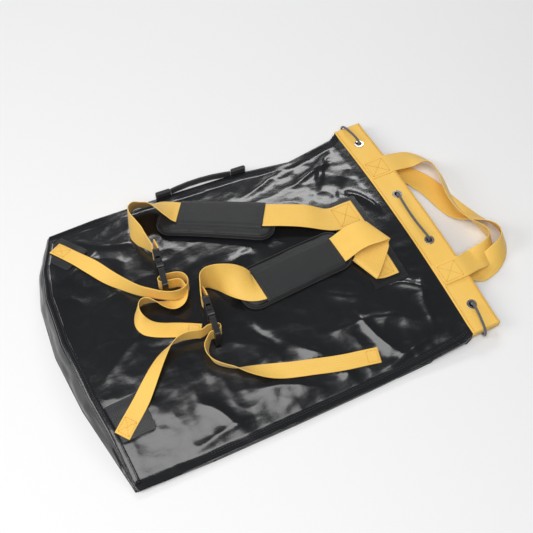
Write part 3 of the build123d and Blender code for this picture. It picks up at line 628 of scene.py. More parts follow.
def build_thread(kind, material, slot, name):
    """All stitches of one colour as small waisted beads of thread."""
    vertices, faces = [], []
    profile = ((-0.5, 0.25), (-0.36, 0.9), (0.0, 1.05), (0.36, 0.9), (0.5, 0.25))
    for middle, along, length, thick in STITCHES[kind]:
        side = along.cross(UP).normalized()
        up = side.cross(along).normalized()
        start = len(vertices)
        for share, wide in profile:
            for turn in range(6):
                angle = turn * math.pi / 3
                offset = side * math.cos(angle) + up * math.sin(angle) * 0.8
                vertices.append(middle + along * (share * length) + offset * (wide * thick / 2))
        for ring in range(len(profile) - 1):
            for turn in range(6):
                a = start + ring * 6 + turn
                b = start + ring * 6 + (turn + 1) % 6
                faces.append((a, b, b + 6, a + 6))
        faces.append(tuple(start + t for t in reversed(range(6))))
        faces.append(tuple(start + (len(profile) - 1) * 6 + t for t in range(6)))
    made = new_object(name, vertices, faces, material)
    return finish_piece(made, "bag", slot)


# ---- straps


def catmull(a, b, c, d, t):
    """Point between b and c on the smooth curve through four values."""
    bend = (2 * a - 5 * b + 4 * c - d) * t * t + (3 * b - a - 3 * c + d) * t ** 3
    return 0.5 * (2 * b + (c - a) * t + bend)


def smooth_stations(stations, step=2.6 * MM):
    """Closely spaced stations on a smooth strap through the placed ones."""
    aligned = [stations[0]]
    for center, across, wide, thick in stations[1:]:
        if across.dot(aligned[-1][1]) < 0:
            across = -across
        aligned.append((center, across, wide, thick))
    points = [aligned[0]] + aligned + [aligned[-1]]
    made = []
    for index in range(1, len(points) - 2):
        a, b, c, d = points[index - 1:index + 3]
        length = (c[0] - b[0]).length
        count = max(1, round(length / step))
        for k in range(count):
            t = k / count
            made.append((catmull(a[0], b[0], c[0], d[0], t),
                         catmull(a[1], b[1], c[1], d[1], t).normalized(),
                         b[2] + (c[2] - b[2]) * t, b[3] + (c[3] - b[3]) * t))
    made.append(aligned[-1])
    return made


def strap_frames(stations):
    """Centre, across, along and normal of each station."""
    frames = []
    for index, (center, across, wide, thick) in enumerate(stations):
        along = stations[min(index + 1, len(stations) - 1)][0] - stations[max(index - 1, 0)][0]
        along = (along - across * along.dot(across)).normalized()
        frames.append((center, across, along, across.cross(along), wide, thick))
    return frames


def build_ribbon(name, stations, material, cup=0.0):
    """A woven strap with rounded selvedges through its stations."""
    frames = strap_frames(smooth_stations(stations))
    shares = (-1, -0.985, -0.93, -0.8, -0.55, -0.28, 0, 0.28, 0.55, 0.8, 0.93, 0.985, 1)
    body = (0.35, 0.8, 1.0, 0.98, 0.93, 0.95, 0.93, 0.95, 0.93, 0.98, 1.0, 0.8, 0.35)
    loop = [(s, h) for s, h in zip(shares, body)] + [(s, -h) for s, h in reversed(list(zip(shares, body)))]
    vertices, uv = [], []
    travelled = 0.0
    previous = frames[0][0]
    for center, across, along, normal, wide, thick in frames:
        travelled += (center - previous).length
        previous = center
        wobble = cup * noise.noise(center * 28)
        for share, height in loop:
            bow = wobble * (1 - share * share)
            vertices.append(center + across * (share * wide / 2) + normal * (height * thick / 2 + bow))
            uv.append((share * wide / 2, travelled))
    columns = len(loop)
    faces = grid_faces(len(frames), columns, wrap=True)
    faces.append(tuple(reversed(range(columns))))
    faces.append(tuple((len(frames) - 1) * columns + c for c in range(columns)))
    return new_object(name, vertices, faces, material, uv=uv), frames


def lay_strap(route, width, thickness, on_bag=True):
    """Place a strap's stations from x, y, lift, lean and optionally heading, width and thickness."""
    stations = []
    for index, (x, y, lift, lean, *rest) in enumerate(route):
        before, after = route[max(index - 1, 0)], route[min(index + 1, len(route) - 1)]
        heading = math.atan2(after[1] - before[1], after[0] - before[0]) + math.radians(90)
        if rest and rest[0] is not None:
            heading = math.radians(rest[0])
        wide, thick = rest[1:] if len(rest) > 1 else (width, thickness)
        wide, thick = wide * MM, thick * MM
        x, y, lift = x * MM, y * MM, lift * MM
        flat = Vector((math.cos(heading), math.sin(heading), 0))
        slope = 0.0
        if on_bag and abs(lean) < 60:
            reach = flat * 0.015
            rise = bag_top(x + reach.x, y + reach.y) - bag_top(x - reach.x, y - reach.y)
            slope = math.atan2(rise, 0.03)
        angle = math.radians(lean) + slope
        across = flat * math.cos(angle) + UP * math.sin(angle)
        height = lift + (bag_top(x, y) if on_bag else 0)
        for share in (-0.5, 0, 0.5):
            edge = across * (wide * share)
            support = bag_top(x + edge.x, y + edge.y) if on_bag else 0
            height = max(height, support + thick / 2 + 0.0005 - edge.z)
        stations.append((Vector((x, y, height)), across, wide, thick))
    return stations


class BuckleFrame:
    """Where a buckle stands: origin at its shoulder end, along it, up, and out of its west face."""

    def __init__(self, side, origin, direction):
        low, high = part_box(f"{side}_buckle_socket")
        self.along = Vector((*direction, 0)).normalized()
        self.out = self.along.cross(UP)
        self.origin = Vector((origin[0] * MM, origin[1] * MM, (low.z + high.z) / 2))

    def stations(self, points, wide, thick):
        """Stations of a strap that stands on edge in the buckle."""
        return [(self.origin + self.along * (a * MM) + self.out * (o * MM), -UP, wide * MM, thick * MM)
                for a, o in points]


# ---- routes
# The soft pieces' places, repeated from the part's source in millimetres. A strap's station is x, y, lift,
# lean, then optionally its heading, width and thickness.

PAD_STRAP_LIFT = 0.8 + 12.0 + 0.7 + 0.8
BEND_END_X = 324.0
# ---- shoulder webbing
FAR_SHOULDER_ROUTE = [
    (196, 49, 2.9, 0, 270), (176, 49, 2.9, 0, 270), (158, 48.5, 2.9, 0, 268), (143, 51, 5, 0, 262),
    (129, 57, 9, 0, 253), (114, 65, 13.4, 0, 245), (98, 74, 15.2, 0, 238), (74, 87, 15.0, 0, 237.3),
    (48, 101, PAD_STRAP_LIFT, 0, 237.3), (18, 120.2, PAD_STRAP_LIFT, 0, 237.3),
    (-12, 139.5, PAD_STRAP_LIFT, 0, 237.3), (-42, 158.8, PAD_STRAP_LIFT, 0, 237.3),
    (-72, 178, PAD_STRAP_LIFT, 0, 237.3), (-86, 191, 21, 13, 236), (-99, 205, 26, 28, 240),
    (-113, 216, 25, 46, 256), (-128, 221, 27, 62, 280), (-142, 217, 27.5, 76, 310),
    (-151, 204, 27.5, 86, 340), (-155, 187, 27.5, 84),
    (-156, 169, 27, 76), (-152, 151, 24, 74, None, 44, 1.6),
    (-148, 137, 21, 80, None, 36, 1.8),
]
NEAR_SHOULDER_ROUTE = [
    (197, -62, 2.9, 0, 270), (179, -62, 2.9, 0, 270), (164, -61.5, 2.9, 0, 280), (151, -60.5, 3.2, 0, 292),
    (147.2, -62, 6.6, 0, 292), (151, -60.5, 10.0, 0, 292),
    (161, -50, 12.5, 0, 305), (173, -38, 16.5, 0, 312),
    (183, -28, 22, 0, 308), (190, -20, 28.6, 0, 292),
    (193.6, -18.6, 32.4, 0, 292), (190, -20, 36.2, 0, 292),
    (177, -19, 38.0, 0, 279), (163, -17, 36.5, 0, 275),
    (149, -15.5, 30, 0, 273.6), (136, -15, 21, 0, 273.6),
    (121, -16, PAD_STRAP_LIFT, 0, 273.6), (97, -17.5, PAD_STRAP_LIFT, 0, 273.6),
    (73, -19, PAD_STRAP_LIFT, 0, 273.6), (49.5, -20.5, PAD_STRAP_LIFT, 0, 273.6),
    (26, -22, PAD_STRAP_LIFT, 0, 273.6), (2, -23.5, PAD_STRAP_LIFT, 0, 273.6),
    (-22, -25, PAD_STRAP_LIFT, 0, 273.6), (-36, -21.5, 20, -10), (-48, -13.5, 25.5, -24),
    (-59, -4, 28, -42), (-70, 5.5, 28.5, -60),
    (-81, 14, 27, -72), (-93, 18.5, 27.2, -84), (-103, 15, 26, -90),
    (-107.5, 5.5, 23.5, -90, None, 40, 1.7),
]
FAR_LOWER_RUN = [
    (-281, 215, 2.6, 0), (-272, 200, 2.6, 0), (-262, 182, 2.8, 0), (-252, 163, 4, 5),
    (-240, 137, 7, 24), (-226, 104, 11, 46), (-211, 77, 14.5, 66),
    (-194, 52, 17, 80), (-178, 35, 20, 86), (-163, 21, 23, 90), (-148, 12.5, 24.5, 90),
    (-133, 12, 24, 90), (-123, 19, 21.5, 90),
    (-119, 30, 20, 90), (-122, 41, 19.4, 90), (-131, 47.5, 19.2, 90),
]
FAR_LOWER_TAIL = [
    (-131, 34, 18.6, 90), (-129, 25, 15, 76),
    (-133, 16.5, 9.6, 46), (-142, 11.5, 6.4, 18), (-153, 10.5, 6.2, 14),
    (-164, 14, 9, 36), (-174, 21, 12, 60), (-184, 28, 13.5, 76), (-195, 31, 14, 82), (-205, 26, 14, 78),
    (-211, 15, 13, 66), (-212, 3, 9.5, 44), (-207, -8, 5, 20), (-197, -16.5, 2.8, 5), (-184, -24, 2.4, 0),
    (-167, -32, 2.4, 0), (-150, -41, 2.6, 0), (-133, -51, 3.0, 0),
]
NEAR_LOWER_RUN = [
    (-305, -149, 2.6, 0), (-291, -138, 2.6, 0), (-275, -126, 2.8, 0),
    (-258, -113, 4.6, -6), (-241, -98, 7.5, -20), (-224, -83, 10.5, -34),
    (-206, -69, 13.5, -50), (-188, -59, 16.5, -66), (-170, -55.5, 18.5, -82),
    (-153, -58, 19.2, -90), (-138, -62.5, 19.2, -90),
]
NEAR_LOWER_TAIL = [
    (-134, -79, 18, -84), (-139.5, -86, 15.5, -78), (-141, -97, 14, -76), (-136.5, -109, 13.5, -76),
    (-126, -120, 13.2, -74), (-112, -130, 12.6, -68), (-96, -139, 10.6, -54), (-80, -146.5, 7.4, -34),
    (-63, -153, 4.4, -14), (-44, -159.5, 2.6, 0),
    (-24, -165.5, 2.4, 0), (0, -172, 2.4, 0), (25, -179, 2.4, 0),
    (50, -185, 2.4, 0), (76, -190, 2.4, 0), (101, -195, 2.4, 0),
]
BAR_LOOP = [(-11, 3.4), (-4, 4.6), (2, 5.0), (5.6, 3.8), (7.2, 0), (5.6, -3.8), (2, -5.0),
            (-4, -4.6), (-11, -3.6), (-20, -1.6)]
LADDER_LOOP = [(49.2, 9.4), (49.4, 4.0), (49.6, -2.0), (50.8, -6.4), (53.6, -8.6), (57.0, -8.6),
               (59.8, -6.4), (61.0, -2.0), (61.2, 4.0), (61.6, 9.4)]
# ---- carry handles
FRONT_HANDLE_ROUTE = [
    (BEND_END_X, 118, 22, -4, 88), (338, 117, 18.5, -10, 78),
    (351, 112, 17, -26, 62), (362, 103, 17.6, -44, 38),
    (369, 89, 18.6, -58, 14), (370, 72, 19.4, -62), (366, 51, 20.6, -62), (360, 30, 22.6, -60),
    (355, 9, 25, -58), (354, -12, 26, -56), (358, -32, 25, -56), (366, -50, 22, -60),
    (373, -66, 19, -70), (375, -82, 18.4, -74), (369, -96, 17.4, -66), (357, -105, 16.8, -48),
    (344, -109.5, 17, -28), (334, -111, 18, -12), (BEND_END_X, -112, 20, -4, 270),
]
REAR_HANDLE_ROUTE = [
    (BEND_END_X, 96, 5, 0, 62), (334, 83, 3, 0, 42), (343, 66, 2.2, 0, 26), (349, 46, 2, 0, 17),
    (353, 27, 2, 0, 14), (358, 7, 2, 0, 18), (365, -13, 5, -10, 24), (374, -31, 11, -30),
    (384, -47, 15, -48), (393, -63, 17, -60), (397, -81, 18, -68), (392, -99, 18, -68),
    (380, -112, 16, -58), (364, -119.5, 12, -38), (348, -124, 7.5, -18), (335, -126.5, 5, -6),
    (BEND_END_X, -127, 4.5, 0, 270),
]
# ---- drawcord: half of it, from one tail to the mouth's middle
CORD_ROUTE = [
    (176, 2.6, 7.6), (196, 2.4, 7.6), (214, 2.3, 7.6), (233, 2.3, 7.6), (250, 2.4, 7.6),
    (261, 6, 7.4), (269, 16, 7.0), (273, 30, 6.6), (275, 44, 7.0), (275.6, 51, 10.5),
    (275, 52.4, 16.5), (273, 56, 21.4), (269, 68, 20.6), (266, 90, 19.8), (265, 117, 18.6),
    (266, 144, 17.6), (267, 165, 16.2), (270, 177, 15.4), (274.6, 182.6, 12.0), (275, 186, 5.8),
    (274, 198, 4.2), (272, 214, 4.6), (270, 227, 4.3), (269, 235.5, 8.0), (269, 235, 17.5),
    (270, 227, 24.0), (272, 213, 26.6), (274, 199, 28.4), (275, 187, 28.0), (275.6, 183, 22.4),
    (280, 177, 16.6), (283, 165, 17.8), (284, 144, 19.8), (285, 117, 21.6), (284, 90, 22.8),
    (281, 68, 23.6), (277, 55, 23.4), (275.4, 51.4, 28.6), (274.6, 48, 36.4), (273.4, 36, 36.8),
]

# Width and thickness of each webbing, in millimetres
STRAP = (50.0, 1.6)
NARROW = (25.0, 1.4)
HANDLE = (39.0, 1.6)
PADS = {"far": ((48, 101), (-72, 178), -10.0), "near": ((121, -16), (-22, -25), 6.0)}
EYELET_Y = (-0.183, -0.052, 0.052, 0.183)
CLEAR_OF_EYELETS_X = 0.254

# ---- pieces


def on_surface(tree, points, lift=0.0003):
    """Points in plan dropped onto a surface."""
    placed = []
    for x, y in points:
        z = hit_down(tree, x, y)
        if z is not None:
            placed.append(Vector((x, y, z + lift)))
    return placed


def between(first, second, count):
    """Points in plan on a straight line."""
    return [(first[0] + (second[0] - first[0]) * k / count, first[1] + (second[1] - first[1]) * k / count)
            for k in range(count + 1)]


def tree_of_object(made):
    """Ray casting tree over a finished piece."""
    points = [v.co.copy() for v in made.data.vertices]
    return BVHTree.FromPolygons(points, [list(p.vertices) for p in made.data.polygons])


def build_body():
    """The top, bottom and round base skins, thickened and riding on the bag."""
    top, plan, heights = build_top_skin()
    bottom, bottom_vertices, bottom_columns = build_bottom_skin()
    base = build_base_skin(plan, heights, bottom_vertices, bottom_columns)
    thicken(top, SHEET, -1)
    thicken(bottom, SHEET, 1)
    thicken(base, SHEET, -1)
    finish_piece(top, "bag", "tarpaulin", "upper_panel")
    finish_piece(bottom, "bag", "tarpaulin", "lower_panel")
    finish_piece(base, "bag", "tarpaulin", "base_panel")
    return tree_of_object(top), plan, heights


def build_seams(top_tree, plan, heights):
    """Stitched edges: each long side, and the base seam's raised tape with its double row."""
    rows, columns = heights.shape
    for side, first, inner in (("near", 0, 1), ("far", columns - 1, -1)):
        stations = []
        for row in range(0, rows, 3):
            x, y = plan[row, first]
            if x > MOUTH_INSIDE_X - 0.003 or x < -0.335:
                continue
            low, high = hit_up(LOWER, x, y + inner * 0.004), hit_down(UPPER, x, y + inner * 0.004)
            if low is None or high is None:
                continue
            gap = max(0.0012, high - low - 2 * SHEET)
            middle = Vector((x, y + inner * 0.0072, (high + low) / 2))
            stations.append((middle, Vector((0, 1, 0)), 0.0142, gap * 0.96))
        tape = build_ribbon(f"{side}_seam_tape", stations, TARPAULIN)[0]
        finish_piece(tape, "bag", "tarpaulin", f"{side}_side_seam")
        for inset in (0.0095, 0.0125):
            line = [(plan[r, first, 0], plan[r, first, 1] + inner * inset) for r in range(rows)
                    if -0.325 < plan[r, first, 0] < MOUTH_INSIDE_X - 0.004]
            stitch_line("black", on_surface(top_tree, line), pitch=4.6)
    width = 0.012
    vertices = []
    lanes = range(int(columns * 0.035), int(columns * 0.965))
    profile = ((0.0, -0.4), (0.03, 0.9), (0.12, 1.3), (0.5, 1.15), (0.88, 1.3), (0.97, 0.9), (1.0, -0.4))

    def inward(column, distance):
        end, before = Vector((*plan[-1, column], 0)), Vector((*plan[-4, column], 0))
        return end + (before - end).normalized() * distance

    for column in lanes:
        for share, lift in profile:
            point = inward(column, width * share + 0.0008)
            z = hit_down(top_tree, point.x, point.y) or heights[-1, column]
            vertices.append((point.x, point.y, z + lift * MM))
    tape = new_object("base_seam_tape", vertices, grid_faces(len(lanes), len(profile)), TARPAULIN)
    finish_piece(tape, "bag", "tarpaulin", "base_seam")
    tape_tree = tree_of_object(tape)
    for inset in (0.0035, 0.0092):
        line = [tuple(inward(column, inset).xy) for column in lanes]
        stitch_line("black", on_surface(tape_tree, line), pitch=4.4)


def build_mouth_band():
    """The webbing band sewn round the mouth, with its stitch rows."""
    low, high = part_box("mouth_band")
    half = (high.y - low.y) / 2
    loop = []
    steps = 150
    for index in range(steps + 1):
        y = -half + 0.0006 + (2 * half - 0.0012) * index / steps
        by_eyelet = any(abs(y - eyelet) <= 0.02 for eyelet in EYELET_Y)
        loop.append((y, hit_up(MOUTH, CLEAR_OF_EYELETS_X if by_eyelet else 0.27, y)))
    for index in range(steps + 1):
        y = half - 0.0006 - (2 * half - 0.0012) * index / steps
        loop.append((y, hit_down(MOUTH, CLEAR_OF_EYELETS_X, y)))
    middle_z = (low.z + high.z) / 2
    rows = 22
    vertices, uv = [], []
    columns = len(loop)
    lengths = [0.0]
    for (y0, z0), (y1, z1) in zip(loop, loop[1:]):
        lengths.append(lengths[-1] + math.hypot(y1 - y0, z1 - z0))
    for x in np.linspace(low.x + 0.0003, high.x - 0.0003, rows):
        for (y, z), length in zip(loop, lengths):
            edge = min(x - low.x, high.x - x)
            wave = 0.5 * MM * noise.noise(Vector((x * 12, y * 24, z * 3))) * min(1, edge / 0.01)
            vertices.append((x, y, z + (wave if z > middle_z else -wave * 0.4)))
            uv.append((x, length))
    band = new_object("mouth_webbing", vertices, grid_faces(rows, columns, wrap=True), YELLOW, uv=uv)
    thicken(band, 1.5 * MM, -1 if band.data.polygons[len(band.data.polygons) // 4].normal.z < 0 else 1)
    centers = [Vector((0.275, y, find(MOUTH, CLEAR_OF_EYELETS_X, y)))
               for y in EYELET_Y for find in (hit_down, hit_up)]
    punch(band, centers, 6.6 * MM)
    finish_piece(band, "bag", "yellow_webbing", "mouth_band")
    for edge_x in (0.2535, 0.2965):
        for low_y, high_y in ((-0.2255, -0.139), (-0.097, 0.097), (0.139, 0.2255)):
            line = between((edge_x, low_y), (edge_x, high_y), 60)
            stitch_line("yellow", on_surface(MOUTH, line, 0.0006), pitch=3.6, length=2.8)


def punch(made, centers, radius):
    """Delete the faces of a skin that lie inside the eyelets."""
    mesh = bmesh.new()
    mesh.from_mesh(made.data)
    gone = [f for f in mesh.faces
            if any((f.calc_center_median() - c).length < radius for c in centers)]
    bmesh.ops.delete(mesh, geom=gone, context="FACES")
    mesh.to_mesh(made.data)
    mesh.free()


def build_patches():
    """Sewn reinforcement patches: a crisp raised sheet with a double stitched border."""
    for side in ("near", "far"):
        for place in ("upper", "lower"):
            name = f"{side}_{place}_patch"
            node = nodes[name]
            made = node.copy()
            made.data = node.data.copy()
            made.name = f"{name}_cloth"
            made.parent = None
            bpy.context.scene.collection.objects.link(made)
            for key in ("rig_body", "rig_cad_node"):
                if key in made:
                    del made[key]
            made.data.materials.clear()
            made.data.materials.append(PATCH_CLOTH)
            bevel = made.modifiers.new("edge", "BEVEL")
            bevel.width = 0.4 * MM
            bevel.segments = 2
            bevel.limit_method = "ANGLE"
            apply_modifiers(made)
            finish_piece(made, "bag", "patch_fabric", name)
            size = {"near_upper_patch": (62, 70), "far_upper_patch": (62, 70),
                    "near_lower_patch": (60, 60), "far_lower_patch": (52, 62)}[name]
            tree = tree_of_object(made)
            low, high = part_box(name)
            center = ((low.x + high.x) / 2, (low.y + high.y) / 2)
            turn = math.radians(30) if name == "far_lower_patch" else 0
            for inset in (3.0, 6.0):
                corners = []
                for i, j in ((-1, -1), (1, -1), (1, 1), (-1, 1), (-1, -1)):
                    u, v = i * (size[0] / 2 - inset) * MM, j * (size[1] / 2 - inset) * MM
                    corners.append((center[0] + u * math.cos(turn) - v * math.sin(turn),
                                    center[1] + u * math.sin(turn) + v * math.cos(turn)))
                for a, b in zip(corners, corners[1:]):
                    stitch_line("black", on_surface(tree, between(a, b, 14)), pitch=4.4)


def build_pad(side):
    """A shoulder pad's cushion: the foam's form, blown up a little by a cloth simulation."""
    pad = copy_of_node(f"{side}_pad_foam", f"{side}_pad", PAD_CLOTH)
    remesh = pad.modifiers.new("remesh", "REMESH")
    remesh.mode = "VOXEL"
    remesh.voxel_size = 4.0 * MM
    apply_modifiers(pad)
    rest = np.array([v.co for v in pad.data.vertices])
    cloth = pad.modifiers.new("cloth", "CLOTH")
    cloth.settings.use_pressure = True
    cloth.settings.uniform_pressure_force = 3.5
    cloth.settings.effector_weights.gravity = 0
    cloth.settings.quality = 6
    cloth.settings.tension_stiffness = 20
    cloth.settings.compression_stiffness = 20
    cloth.settings.bending_stiffness = 0.6
    for step in range(1, 16):
        bpy.context.scene.frame_set(step)
    apply_modifiers(pad)
    bpy.context.scene.frame_set(1)
    moved = np.array([v.co for v in pad.data.vertices])
    shift = moved - rest
    reach = np.linalg.norm(shift, axis=1, keepdims=True)
    cap = 1.1 * MM
    shift = shift * np.minimum(1.0, cap / np.maximum(reach, 1e-9))
    for vertex, place in zip(pad.data.vertices, rest + shift):
        vertex.co = place
    smooth = pad.modifiers.new("smooth", "SMOOTH")
    smooth.factor = 0.5
    smooth.iterations = 3
    subdivide = pad.modifiers.new("subdivide", "SUBSURF")
    subdivide.levels = subdivide.render_levels = 1
    apply_modifiers(pad)
    for polygon in pad.data.polygons:
        polygon.use_smooth = True
    for vertex in pad.data.vertices:
        dent = noise.noise(vertex.co * 38) * 0.35 + noise.noise(vertex.co * 90) * 0.12
        vertex.co.z += dent * MM
    finish_piece(pad, "bag", "pad_fabric", f"{side}_pad_foam", f"{side}_pad_cover")


def build_pad_edge(side, start, end, offset):
    """The binding tape round the pad's edge."""
    along = (Vector((*end, 0)) - Vector((*start, 0))).normalized()
    left = UP.cross(along)
    sign = -1 if along.x < 0 else 1
    origin = Vector((*start, 0)) * MM
    half_long, half_wide, round_off = 98.0, 36.0, 24.0
    middle = (78.0, sign * offset)
    outline = []
    for corner_x, corner_y, first in ((1, 1, 0), (-1, 1, 90), (-1, -1, 180), (1, -1, 270)):
        for step in range(9):
            angle = math.radians(first + step * 90 / 8)
            outline.append((middle[0] + corner_x * (half_long - round_off) + round_off * math.cos(angle),
                            middle[1] + corner_y * (half_wide - round_off) + round_off * math.sin(angle)))
    dense = []
    for a, b in zip(outline, outline[1:] + outline[:1]):
        count = max(1, int(math.hypot(b[0] - a[0], b[1] - a[1]) / 4))
        dense += [(a[0] + (b[0] - a[0]) * k / count, a[1] + (b[1] - a[1]) * k / count) for k in range(count)]
    vertices = []
    ring = 10
    points = []
    for u, v in dense:
        place = origin + along * (u * MM) + left * (v * MM)
        points.append(Vector((place.x, place.y, bag_top(place.x, place.y) + 6.8 * MM)))
    count = len(points)
    for index, point in enumerate(points):
        tangent = (points[(index + 1) % count] - points[index - 1]).normalized()
        outward = tangent.cross(UP).normalized()
        wave = 0.25 * noise.noise(point * 60)
        for turn in range(ring):
            angle = 2 * math.pi * turn / ring
            vertices.append(point + outward * ((0.9 + wave * 0.3) * math.cos(angle) * 1.5 * MM - 0.6 * MM)
                            + UP * (math.sin(angle) * (5.3 + wave) * MM))
    faces = grid_faces(count, ring, wrap=True, ring=True)
    binding = new_object(f"{side}_pad_tape", vertices, faces, BLACK_WEBBING)
    finish_piece(binding, "bag", "pad_fabric", f"{side}_pad_binding")


def build_sleeve(side, start, end):
    """The cloth sleeve sewn over the webbing, hugging it, with folded hems at its ends."""
    along = (Vector((*end, 0)) - Vector((*start, 0))).normalized()
    left = UP.cross(along)
    origin = Vector((*start, 0)) * MM
    rows, columns = 60, 41
    vertices = []
    for row in range(rows):
        u = 143.0 * row / (rows - 1)
        for column in range(columns):
            v = -30.0 + 60.0 * column / (columns - 1)
            place = origin + along * (u * MM) + left * (v * MM)
            base = bag_top(place.x, place.y) + 13.0 * MM
            edge = (30.0 - abs(v)) / 4.2
            rise = 1 - math.exp(-max(0.0, edge) ** 2)
            hem = 0.45 * math.exp(-((min(u, 143 - u) - 5.5) / 1.6) ** 2)
            pull = 0.12 * noise.noise(Vector((u * 0.045, v * 0.09, 2.0 if side == "near" else 6.0)))
            z = base + (0.3 + rise * (3.05 + pull) + hem * rise) * MM
            vertices.append((place.x, place.y, z))
    made = new_object(f"{side}_sleeve", vertices, grid_faces(rows, columns), PAD_CLOTH)
    thicken(made, 0.9 * MM, -1 if made.data.polygons[0].normal.z > 0 else 1)
    finish_piece(made, "bag", "pad_fabric", f"{side}_pad_sleeve")
    tree = tree_of_object(made)

    def line(points):
        return on_surface(tree, [tuple((origin + along * (u * MM) + left * (v * MM)).xy) for u, v in points])

    for v in (-27.6, 27.6):
        stitch_line("black", line([(u, v) for u in range(2, 142, 4)]), pitch=4.2)
    for u in (9.0, 134.0):
        stitch_line("black", line([(u, v) for v in range(-28, 29, 4)]), pitch=4.2)


def webbing_join(frames, first, last, wide, cross=True, faces=(1, -1)):
    """A box of stitches on a strap's faces, between two stations of its frames."""
    steps = [k / 6 for k in range(7)]
    for face in faces:
        def point(share, aside):
            center, across, along, normal, width, thick = frames[int(first + (last - first) * share)]
            return center + across * (aside * wide / 2 * MM) + normal * (face * (thick / 2 + 0.0001))

        rows = [[point(s, -1) for s in steps], [point(s, 1) for s in steps]]
        rows += [[point(end, a) for a in (-1, -0.5, 0, 0.5, 1)] for end in (0, 1)]
        if cross:
            rows += [[point(s, 2 * s - 1) for s in steps], [point(s, 1 - 2 * s) for s in steps]]
        for row in rows:
            stitch_line("yellow", row, pitch=3.6, length=2.7)


def build_straps():
    """The shoulder and lower webbing of both sides."""
    buckles = {"far": BuckleFrame("far", (-143.0, 100.0), (-13.0, -73.0)),
               "near": BuckleFrame("near", (-109.0, -14.0), (-10.0, -72.0))}
    shoulder = {"far": FAR_SHOULDER_ROUTE, "near": NEAR_SHOULDER_ROUTE}
    lower = {"far": (FAR_LOWER_RUN, -1, FAR_LOWER_TAIL), "near": (NEAR_LOWER_RUN, 1, NEAR_LOWER_TAIL)}
    for side, buckle in buckles.items():
        stations = lay_strap(shoulder[side], *STRAP) + buckle.stations(BAR_LOOP, NARROW[0], 2.0)
        strap, frames = build_ribbon(f"{side}_shoulder_strap", stations, YELLOW, cup=0.5 * MM)
        finish_piece(strap, "bag", "yellow_webbing", f"{side}_shoulder_webbing")
        webbing_join(frames, 3, 16, 40)
        run, turn, tail = lower[side]
        ladder = buckle.stations([(a, turn * o) for a, o in LADDER_LOOP], *NARROW)
        stations = lay_strap(run, *NARROW) + ladder + lay_strap(tail, *NARROW)
        strap, frames = build_ribbon(f"{side}_lower_strap", stations, YELLOW, cup=0.3 * MM)
        finish_piece(strap, "bag", "yellow_webbing", f"{side}_lower_webbing")
        webbing_join(frames, 2, 11, 19)
        webbing_join(frames, len(frames) - 9, len(frames) - 3, 18, cross=False)


def build_carry_handles():
    """Front and rear handle, each one strap from its sewn ends through the bends and the loop."""
    for name, route, top in (("front", FRONT_HANDLE_ROUTE, True), ("rear", REAR_HANDLE_ROUTE, False)):
        loop = lay_strap(route, *HANDLE, on_bag=False)
        ends = []
        wide, thick = HANDLE[0] * MM, HANDLE[1] * MM
        for y in (0.118, -0.118):
            stub = []
            slope = (-0.032 if top else -0.03) * math.copysign(1, y)
            across = Vector((0, 1, slope)).normalized()
            for x, sample_x in ((0.2545, 0.2545), (0.275, 0.27), (0.2985, 0.2985)):
                z = hit_down(MOUTH, sample_x, y) + MM if top else hit_up(MOUTH, 0.27, y) - MM
                stub.append((Vector((x, y, z)), across, wide, thick))
            ends.append(stub)
        stations = ends[0] + loop + list(reversed(ends[1]))
        strap, frames = build_ribbon(f"{name}_carry_strap", stations, YELLOW, cup=0.4 * MM)
        faces = (1, -1) if top else (-1,)
        webbing_join(frames, 2, 14, 31, faces=faces)
        webbing_join(frames, len(frames) - 15, len(frames) - 3, 31, faces=faces)
        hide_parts(f"{name}_handle", f"{name}_handle_bends", f"{name}_handle_sewn_ends")
        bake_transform(strap)


def knot_tube(center, rings=72, around=10):
    """Points and faces of an overhand knot: a tube on a small trefoil."""
    def spot(index):
        angle = 2 * math.pi * index / rings
        wide = (2.3 + 0.95 * math.cos(3 * angle)) * MM
        height = 1.235 * MM * math.sin(3 * angle)
        return Vector((height, wide * math.cos(2 * angle), wide * math.sin(2 * angle)))

    vertices = []
    for index in range(rings):
        tangent = (spot(index + 1) - spot(index)).normalized()
        normal = tangent.cross(Vector((1, 0.3, 0.1))).normalized()
        other = tangent.cross(normal)
        for turn in range(around):
            t = 2 * math.pi * turn / around
            vertices.append(center + spot(index) + (normal * math.cos(t) + other * math.sin(t)) * 1.7 * MM)
    return vertices, grid_faces(rings, around, wrap=True, ring=True)


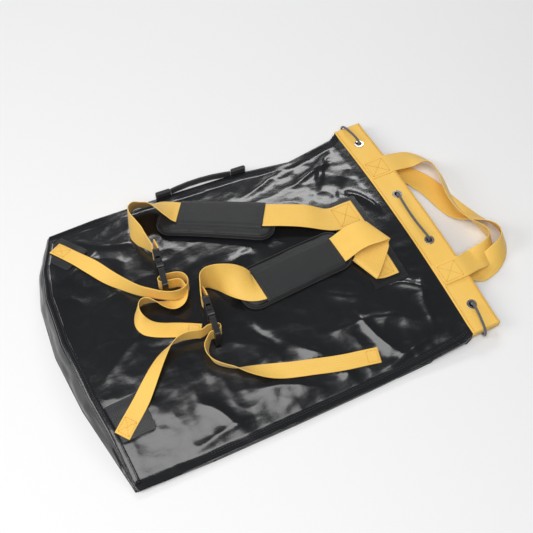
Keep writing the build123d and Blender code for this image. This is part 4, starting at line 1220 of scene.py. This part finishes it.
def build_drawcord():
    """The drawcord through the eyelets, on one smooth curve, and its two end knots."""
    half = [Vector(p) * MM for p in CORD_ROUTE]
    middle = [Vector((272.4, 13, 35.6)) * MM, Vector((272.4, -12, 35.4)) * MM]
    points = half + middle + [Vector((p.x, -p.y, p.z)) for p in reversed(half)]
    data = bpy.data.curves.new("drawcord_line", "CURVE")
    data.dimensions = "3D"
    data.resolution_u = 8
    data.bevel_depth = 2.0 * MM
    data.bevel_resolution = 5
    data.use_fill_caps = True
    spline = data.splines.new("NURBS")
    spline.points.add(len(points) - 1)
    for target, point in zip(spline.points, points):
        target.co = (*point, 1)
    spline.order_u = 3
    spline.use_endpoint_u = True
    data.materials.append(BRAID)
    cord = bpy.data.objects.new("drawcord_braid", data)
    bpy.context.scene.collection.objects.link(cord)
    finish_piece(cord, "bag", "cord", "drawcord")
    for tag, tail in (("a", points[0]), ("b", points[-1])):
        center = tail + Vector((-0.0042, math.copysign(0.0031, tail.y), 0))
        vertices, faces = knot_tube(center)
        knot = new_object(f"cord_knot_{tag}", vertices, faces, BRAID)
        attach(knot, "bag")
    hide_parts("cord_end_knots")


def repaint_cad():
    """Moulded and metal parts keep their CAD shape and get softened edges and their own material."""
    paint = {"eyelets": NICKEL, "eyelet_washers": NICKEL, "cord_lock_barrel": PLASTIC,
             "cord_lock_plunger": PLASTIC,
             "side_handle_tabs": BLACK_WEBBING, "side_handle_grip": BLACK_WEBBING}
    for side in ("near", "far"):
        for part in ("buckle_socket", "buckle_plug", "release_arm_upper", "release_arm_lower"):
            paint[f"{side}_{part}"] = PLASTIC
    for name, material in paint.items():
        node = nodes[name]
        node.data.materials.clear()
        node.data.materials.append(material)
        if name in ("eyelets", "eyelet_washers"):
            continue
        bevel = node.modifiers.new("edge", "BEVEL")
        bevel.width = 0.7 * MM if "buckle" in name or "side_handle" in name else 0.4 * MM
        bevel.segments = 3
        bevel.limit_method = "ANGLE"
        bevel.angle_limit = math.radians(40)


def build_spring():
    """The plunger's spring: a copy of the CAD coil with its own mesh, riding on the cord lock."""
    spring = copy_of_node("cord_lock_spring", "lock_spring_coil", NICKEL)
    finish_piece(spring, "cord_lock", "spring_steel", "cord_lock_spring")
    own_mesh(spring)


add_camera()
add_studio()
build_drawcord()
top_tree, plan, heights = build_body()
build_seams(top_tree, plan, heights)
build_mouth_band()
build_patches()
for side, (start, end, offset) in PADS.items():
    build_pad(side)
    build_pad_edge(side, start, end, offset)
    build_sleeve(side, start, end)
build_straps()
build_carry_handles()
repaint_cad()
build_spring()
build_thread("yellow", YELLOW_THREAD, "yellow_webbing", "yellow_stitching")
build_thread("black", BLACK_THREAD, "tarpaulin", "black_stitching")
